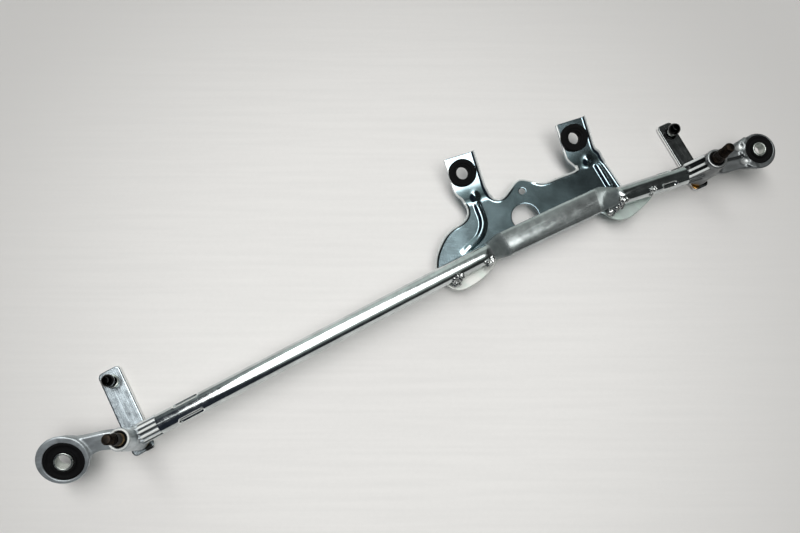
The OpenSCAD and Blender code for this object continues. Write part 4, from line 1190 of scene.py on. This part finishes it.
def lever_field(side):
    """Distance field of a lever: a bar with rounded corners and soft edges, and a hole at each rivet."""
    c = sizes("crank")
    turn, reach, width = ARM_ANGLE[side], ARM_LENGTH[side], LEVER_WIDTH[side]

    def field(x, y, z):
        dx, dy = x - PIVOT[side][0], y - PIVOT[side][1]
        u = dx*math.cos(turn) + dy*math.sin(turn)
        v = dy*math.cos(turn) - dx*math.sin(turn)
        along = np.abs(u - reach/2) - reach/2 - c.lever_end + c.lever_corner
        across = np.abs(v) - width/2 + c.lever_corner
        outside = np.hypot(np.maximum(along, 0), np.maximum(across, 0))
        bar = outside + np.minimum(np.maximum(along, across), 0) - c.lever_corner
        solid = meet(bar, np.abs(z - (LEVER_LOW + LEVER_TOP)/2) - (LEVER_TOP - LEVER_LOW)/2, c.lever_edge)
        for place in (0.0, reach):
            solid = meet(solid, c.rivet/2 - np.hypot(u - place, v), 0.5*MM)
        return solid

    return field


class WIPER_OT_levers(bpy.types.Operator):
    """Build the crank levers"""
    bl_idname = "wiper.levers"
    bl_label = "Levers"

    def execute(self, context):
        for side in SIDES:
            low, high = (np.array(c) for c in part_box(f"{side}_lever"))
            surface = skin(lever_field(side), low - 1*MM, high + 1*MM, LEVER_GRID)
            # Painted highlight on a lever's side faces, copying their reflection of the floor
            edges = ease(1.5 - 2.5*np.abs(surface[2][:, 2]))
            add_piece(f"{side}_crank_lever", surface, f"{side}_crank", f"{side}_lever_zinc", f"{side}_lever",
                      painted_light_and_dull=edges)
        return {"FINISHED"}


class WIPER_OT_ball_studs(bpy.types.Operator):
    """Build the ball studs"""
    bl_idname = "wiper.ball_studs"
    bl_label = "Ball studs"

    def execute(self, context):
        c = sizes("crank")
        for side in SIDES:
            ball, neck = c.ball/2, c.ball_neck/2
            arc = np.linspace(-math.acos(neck/ball), math.asin((ball - BALL_CUT)/ball), 28)
            sphere = np.stack([ball*np.cos(arc), c.ball_height + ball*np.sin(arc)], axis=1)
            foot = rounded([[c.rivet/2, 0], [c.ball_foot/2, 0], [c.ball_foot/2, 2*MM], [neck + 1.6*MM, 2.6*MM],
                            [neck, 4.4*MM], sphere[0]], 0.7*MM, 5, False)
            depth = LEVER_TOP - LEVER_LOW
            rivet = [[0, -depth], [c.rivet/2 - 0.5*MM, -depth], [c.rivet/2, -depth + 0.5*MM]]
            crown = sphere[-1] + [[-0.6*MM, 0.05*MM], [-sphere[-1, 0], 0.05*MM]]
            points, quads = revolve(np.vstack([rivet, foot[:-1], sphere, crown]))
            place = PIVOT[side] + ARM_LENGTH[side]*np.array([math.cos(ARM_ANGLE[side]), math.sin(ARM_ANGLE[side]), 0])
            place[2] = LEVER_TOP
            add_piece(f"{side}_ball_pin", (points + place, quads), f"{side}_crank", "black_steel",
                      f"{side}_ball_stud", 40)
        return {"FINISHED"}


# Body, finish and rounding in millimetres of the rings in each boss
RINGS = {"upper_bush": ("frame", "bronze", 0.4), "lower_bush": ("frame", "bronze", 0.4),
         "thrust_washer": ("crank", "bronze", 0.2), "top_washer": ("crank", "dark_steel", 0.2),
         "dust_seal": ("crank", "rubber", 0.5)}
BUSH_PLAY = 0.04*MM


class WIPER_OT_bearings(bpy.types.Operator):
    """Build the bushes, washers and seals of both pivots, and give the circlips their dark steel finish"""
    bl_idname = "wiper.bearings"
    bl_label = "Bearings"

    def execute(self, context):
        c = sizes("crank")
        for side in SIDES:
            centre = PIVOT[side]*[1, 1, 0]
            for kind, (body, slot, edge) in RINGS.items():
                node = f"{side}_{kind}"
                low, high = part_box(node)
                fixed = body == "frame"
                outer, inner = (high.x - low.x)/2, c.spindle/2 + (BUSH_PLAY if fixed else 0)
                ring = [[inner, low.z], [outer, low.z], [outer, high.z], [inner, high.z]]
                points, quads = revolve(rounded(ring, edge*MM, 4))
                add_piece(f"{side}_{kind}_ring", (points + centre, quads), body if fixed else f"{side}_{body}", slot,
                          node, 40)
            frame["nodes"][f"{side}_circlip"].data.materials.clear()
            frame["nodes"][f"{side}_circlip"].data.materials.append(finish("dark_steel"))
        return {"FINISHED"}


# Stage

# In pixels: where uprights vanish, the focal length and the picture's size
NADIR = (395.0, 440.0)
FOCAL = 680.0
FRAME_SIZE = (800, 533)
CAMERA_PLACE = (-0.2039, -0.1734, 0.6865)
CAMERA_TURN = math.radians(18.6)
# Middle of the painted pool of light on the floor
LIGHT_POOL_MIDDLE = (-0.18, -0.06)
FLOOR_HALF, FLOOR_ROWS = 4, 9
FLOOR_DROP = 0.05*MM
PANEL_LIGHT = (6.0, 6.0, 5.95)
WALL_LIGHT = (0.86, 0.95, 0.90)
ROOM_LIGHT = ((0.02, 0.025, 0.036), (0.036, 0.039, 0.038))
BACKDROP = (0.80, 0.79, 0.77)


def camera_matrix():
    """Camera whose image has the vertical's vanishing point at NADIR and the part turned by CAMERA_TURN."""
    down = np.array([NADIR[0] - FRAME_SIZE[0]/2, NADIR[1] - FRAME_SIZE[1]/2, FOCAL])
    up = -down/np.linalg.norm(down)
    east = np.array([1.0, 0, 0]) - up[0]*up
    east /= np.linalg.norm(east)
    level = np.array([east, np.cross(up, east), up])
    c, s = math.cos(CAMERA_TURN), math.sin(CAMERA_TURN)
    axes = np.array([[c, s, 0], [-s, c, 0], [0, 0, 1]]) @ level
    matrix = Matrix.Identity(4)
    for row in range(3):
        matrix[row][:3] = axes[row, 0], -axes[row, 1], -axes[row, 2]
        matrix[row][3] = CAMERA_PLACE[row]
    return matrix


def studio(world):
    """Soft light from a broad overhead panel in a dim room. The panel's east edge is slanted, and its glow fades
    slowly to the south; there is a pale wall to the north, and dark ones to the west and east. The camera sees a
    plain pale backdrop past the floor."""
    w = Finish("room", world)
    way = w.node("ShaderNodeTexCoord", {}, {}, "Generated")
    east, north, height = (w.node("ShaderNodeSeparateXYZ", {}, {0: way}, k) for k in range(3))
    west = east + north.math("MINIMUM", north, 0.0)*0.4
    slant = north.math("MAXIMUM", north, -0.2)
    between = west.ramp(-0.29, -0.23)*east.ramp(0.35, 0.305)
    panel = west.ramp(-0.262, -0.222)*(east + slant*0.42).ramp(0.25, 0.15)
    panel = panel*north.ramp(-0.55, -0.25)*north.ramp(0.74, 0.62)*height.ramp(0.0, 0.3)
    glow = between*(north.ramp(-0.4, -0.1)*0.27 + north.ramp(-0.92, -0.36)*north.ramp(-0.1, -0.35)*0.95)
    glow = glow + north.ramp(0.56, 0.80)*east.ramp(-0.5, -0.2)*0.45
    room = w.mix(glow, w.mix(east.ramp(-0.2, 0.4), *ROOM_LIGHT), WALL_LIGHT)
    light = w.mix(panel, room, PANEL_LIGHT)
    seen = w.mix(w.node("ShaderNodeLightPath", {}, {}, "Is Camera Ray"), light, BACKDROP)
    lamp = w.node("ShaderNodeBackground", {}, {"Color": seen, "Strength": 1.0})
    w.node("ShaderNodeOutputWorld", {}, {"Surface": lamp})


class WIPER_OT_stage(bpy.types.Operator):
    """Set the camera, the floor and the light of the room"""
    bl_idname = "wiper.stage"
    bl_label = "Stage"

    def execute(self, context):
        scene = context.scene
        scene.view_settings.view_transform = "Standard"
        lens = bpy.data.cameras.new("camera")
        lens.sensor_width = 36
        lens.lens = FOCAL/FRAME_SIZE[0]*lens.sensor_width
        camera = bpy.data.objects.new("camera", lens)
        scene.collection.objects.link(camera)
        camera.matrix_world = camera_matrix()
        scene.camera = camera
        side = np.linspace(-FLOOR_HALF, FLOOR_HALF, FLOOR_ROWS)
        x, y = np.meshgrid(side, side, indexing="ij")
        points = np.stack([x, y, np.full_like(x, FLOOR - FLOOR_DROP)], axis=-1).reshape(-1, 3)
        mesh = bpy.data.meshes.new("floor")
        mesh.from_pydata(points.tolist(), [], grid_faces(FLOOR_ROWS, FLOOR_ROWS, False, False)[:, ::-1].tolist())
        floor = bpy.data.objects.new("floor", mesh)
        scene.collection.objects.link(floor)
        f = Finish("floor")
        rgb = sizes("finishes").floor
        streak = f.noise(f.place((6, 160, 1), (0, 0, CAMERA_TURN)), 1.0, 4)
        fleck = f.noise(f.place(), 300, 3)
        tone = (streak*0.7 + fleck*0.3).ramp(0.3, 0.7)
        far = ((f.axis(0) - LIGHT_POOL_MIDDLE[0])**2 + (f.axis(1) - LIGHT_POOL_MIDDLE[1])**2)**0.5
        base = f.mix(tone, shade(rgb, 0.975), shade(rgb, 1.02))
        # Painted pool of light: the floor darkens away from its middle
        base = f.mix(far.ramp(0.14, 0.6), base, shade(rgb, 0.68))
        mesh.materials.append(f.surface(base_color=base, roughness=0.6, specular_ior_level=0.2))
        world = bpy.data.worlds.new("room")
        scene.world = world
        studio(world)
        return {"FINISHED"}


OPERATORS = (WIPER_OT_stage, WIPER_OT_cross_tube, WIPER_OT_motor_bracket, WIPER_OT_welds, WIPER_OT_pivot_housings,
             WIPER_OT_eye_rubbers, WIPER_OT_tab_rubbers, WIPER_OT_spindles, WIPER_OT_levers, WIPER_OT_ball_studs,
             WIPER_OT_bearings)
GROUPS = {"tube": TubeSizes, "bracket": BracketSizes, "housing": HousingSizes, "crank": CrankSizes,
          "rubber": RubberSizes, "finishes": Finishes}


class WIPER_PT_panel(bpy.types.Panel):
    """Lists the pieces that can be built"""
    bl_idname = "WIPER_PT_panel"
    bl_label = "Wiper linkage"
    bl_space_type = "VIEW_3D"
    bl_region_type = "UI"
    bl_category = "Wiper"

    def draw(self, context):
        for operator in OPERATORS:
            self.layout.operator(operator.bl_idname)
        for group in GROUPS:
            for name in GROUPS[group].__annotations__:
                self.layout.prop(sizes(group), name)


def register():
    for cls in (*GROUPS.values(), *OPERATORS, WIPER_PT_panel):
        bpy.utils.register_class(cls)
    for group, cls in GROUPS.items():
        setattr(bpy.types.Scene, "wiper_" + group, PointerProperty(type=cls))


def unregister():
    for group in GROUPS:
        delattr(bpy.types.Scene, "wiper_" + group)
    for cls in (WIPER_PT_panel, *reversed(OPERATORS), *reversed(GROUPS.values())):
        bpy.utils.unregister_class(cls)


def main():
    register()
    for operator in OPERATORS:
        module, name = operator.bl_idname.split(".")
        getattr(getattr(bpy.ops, module), name)()


if __name__ == "__main__":
    main()
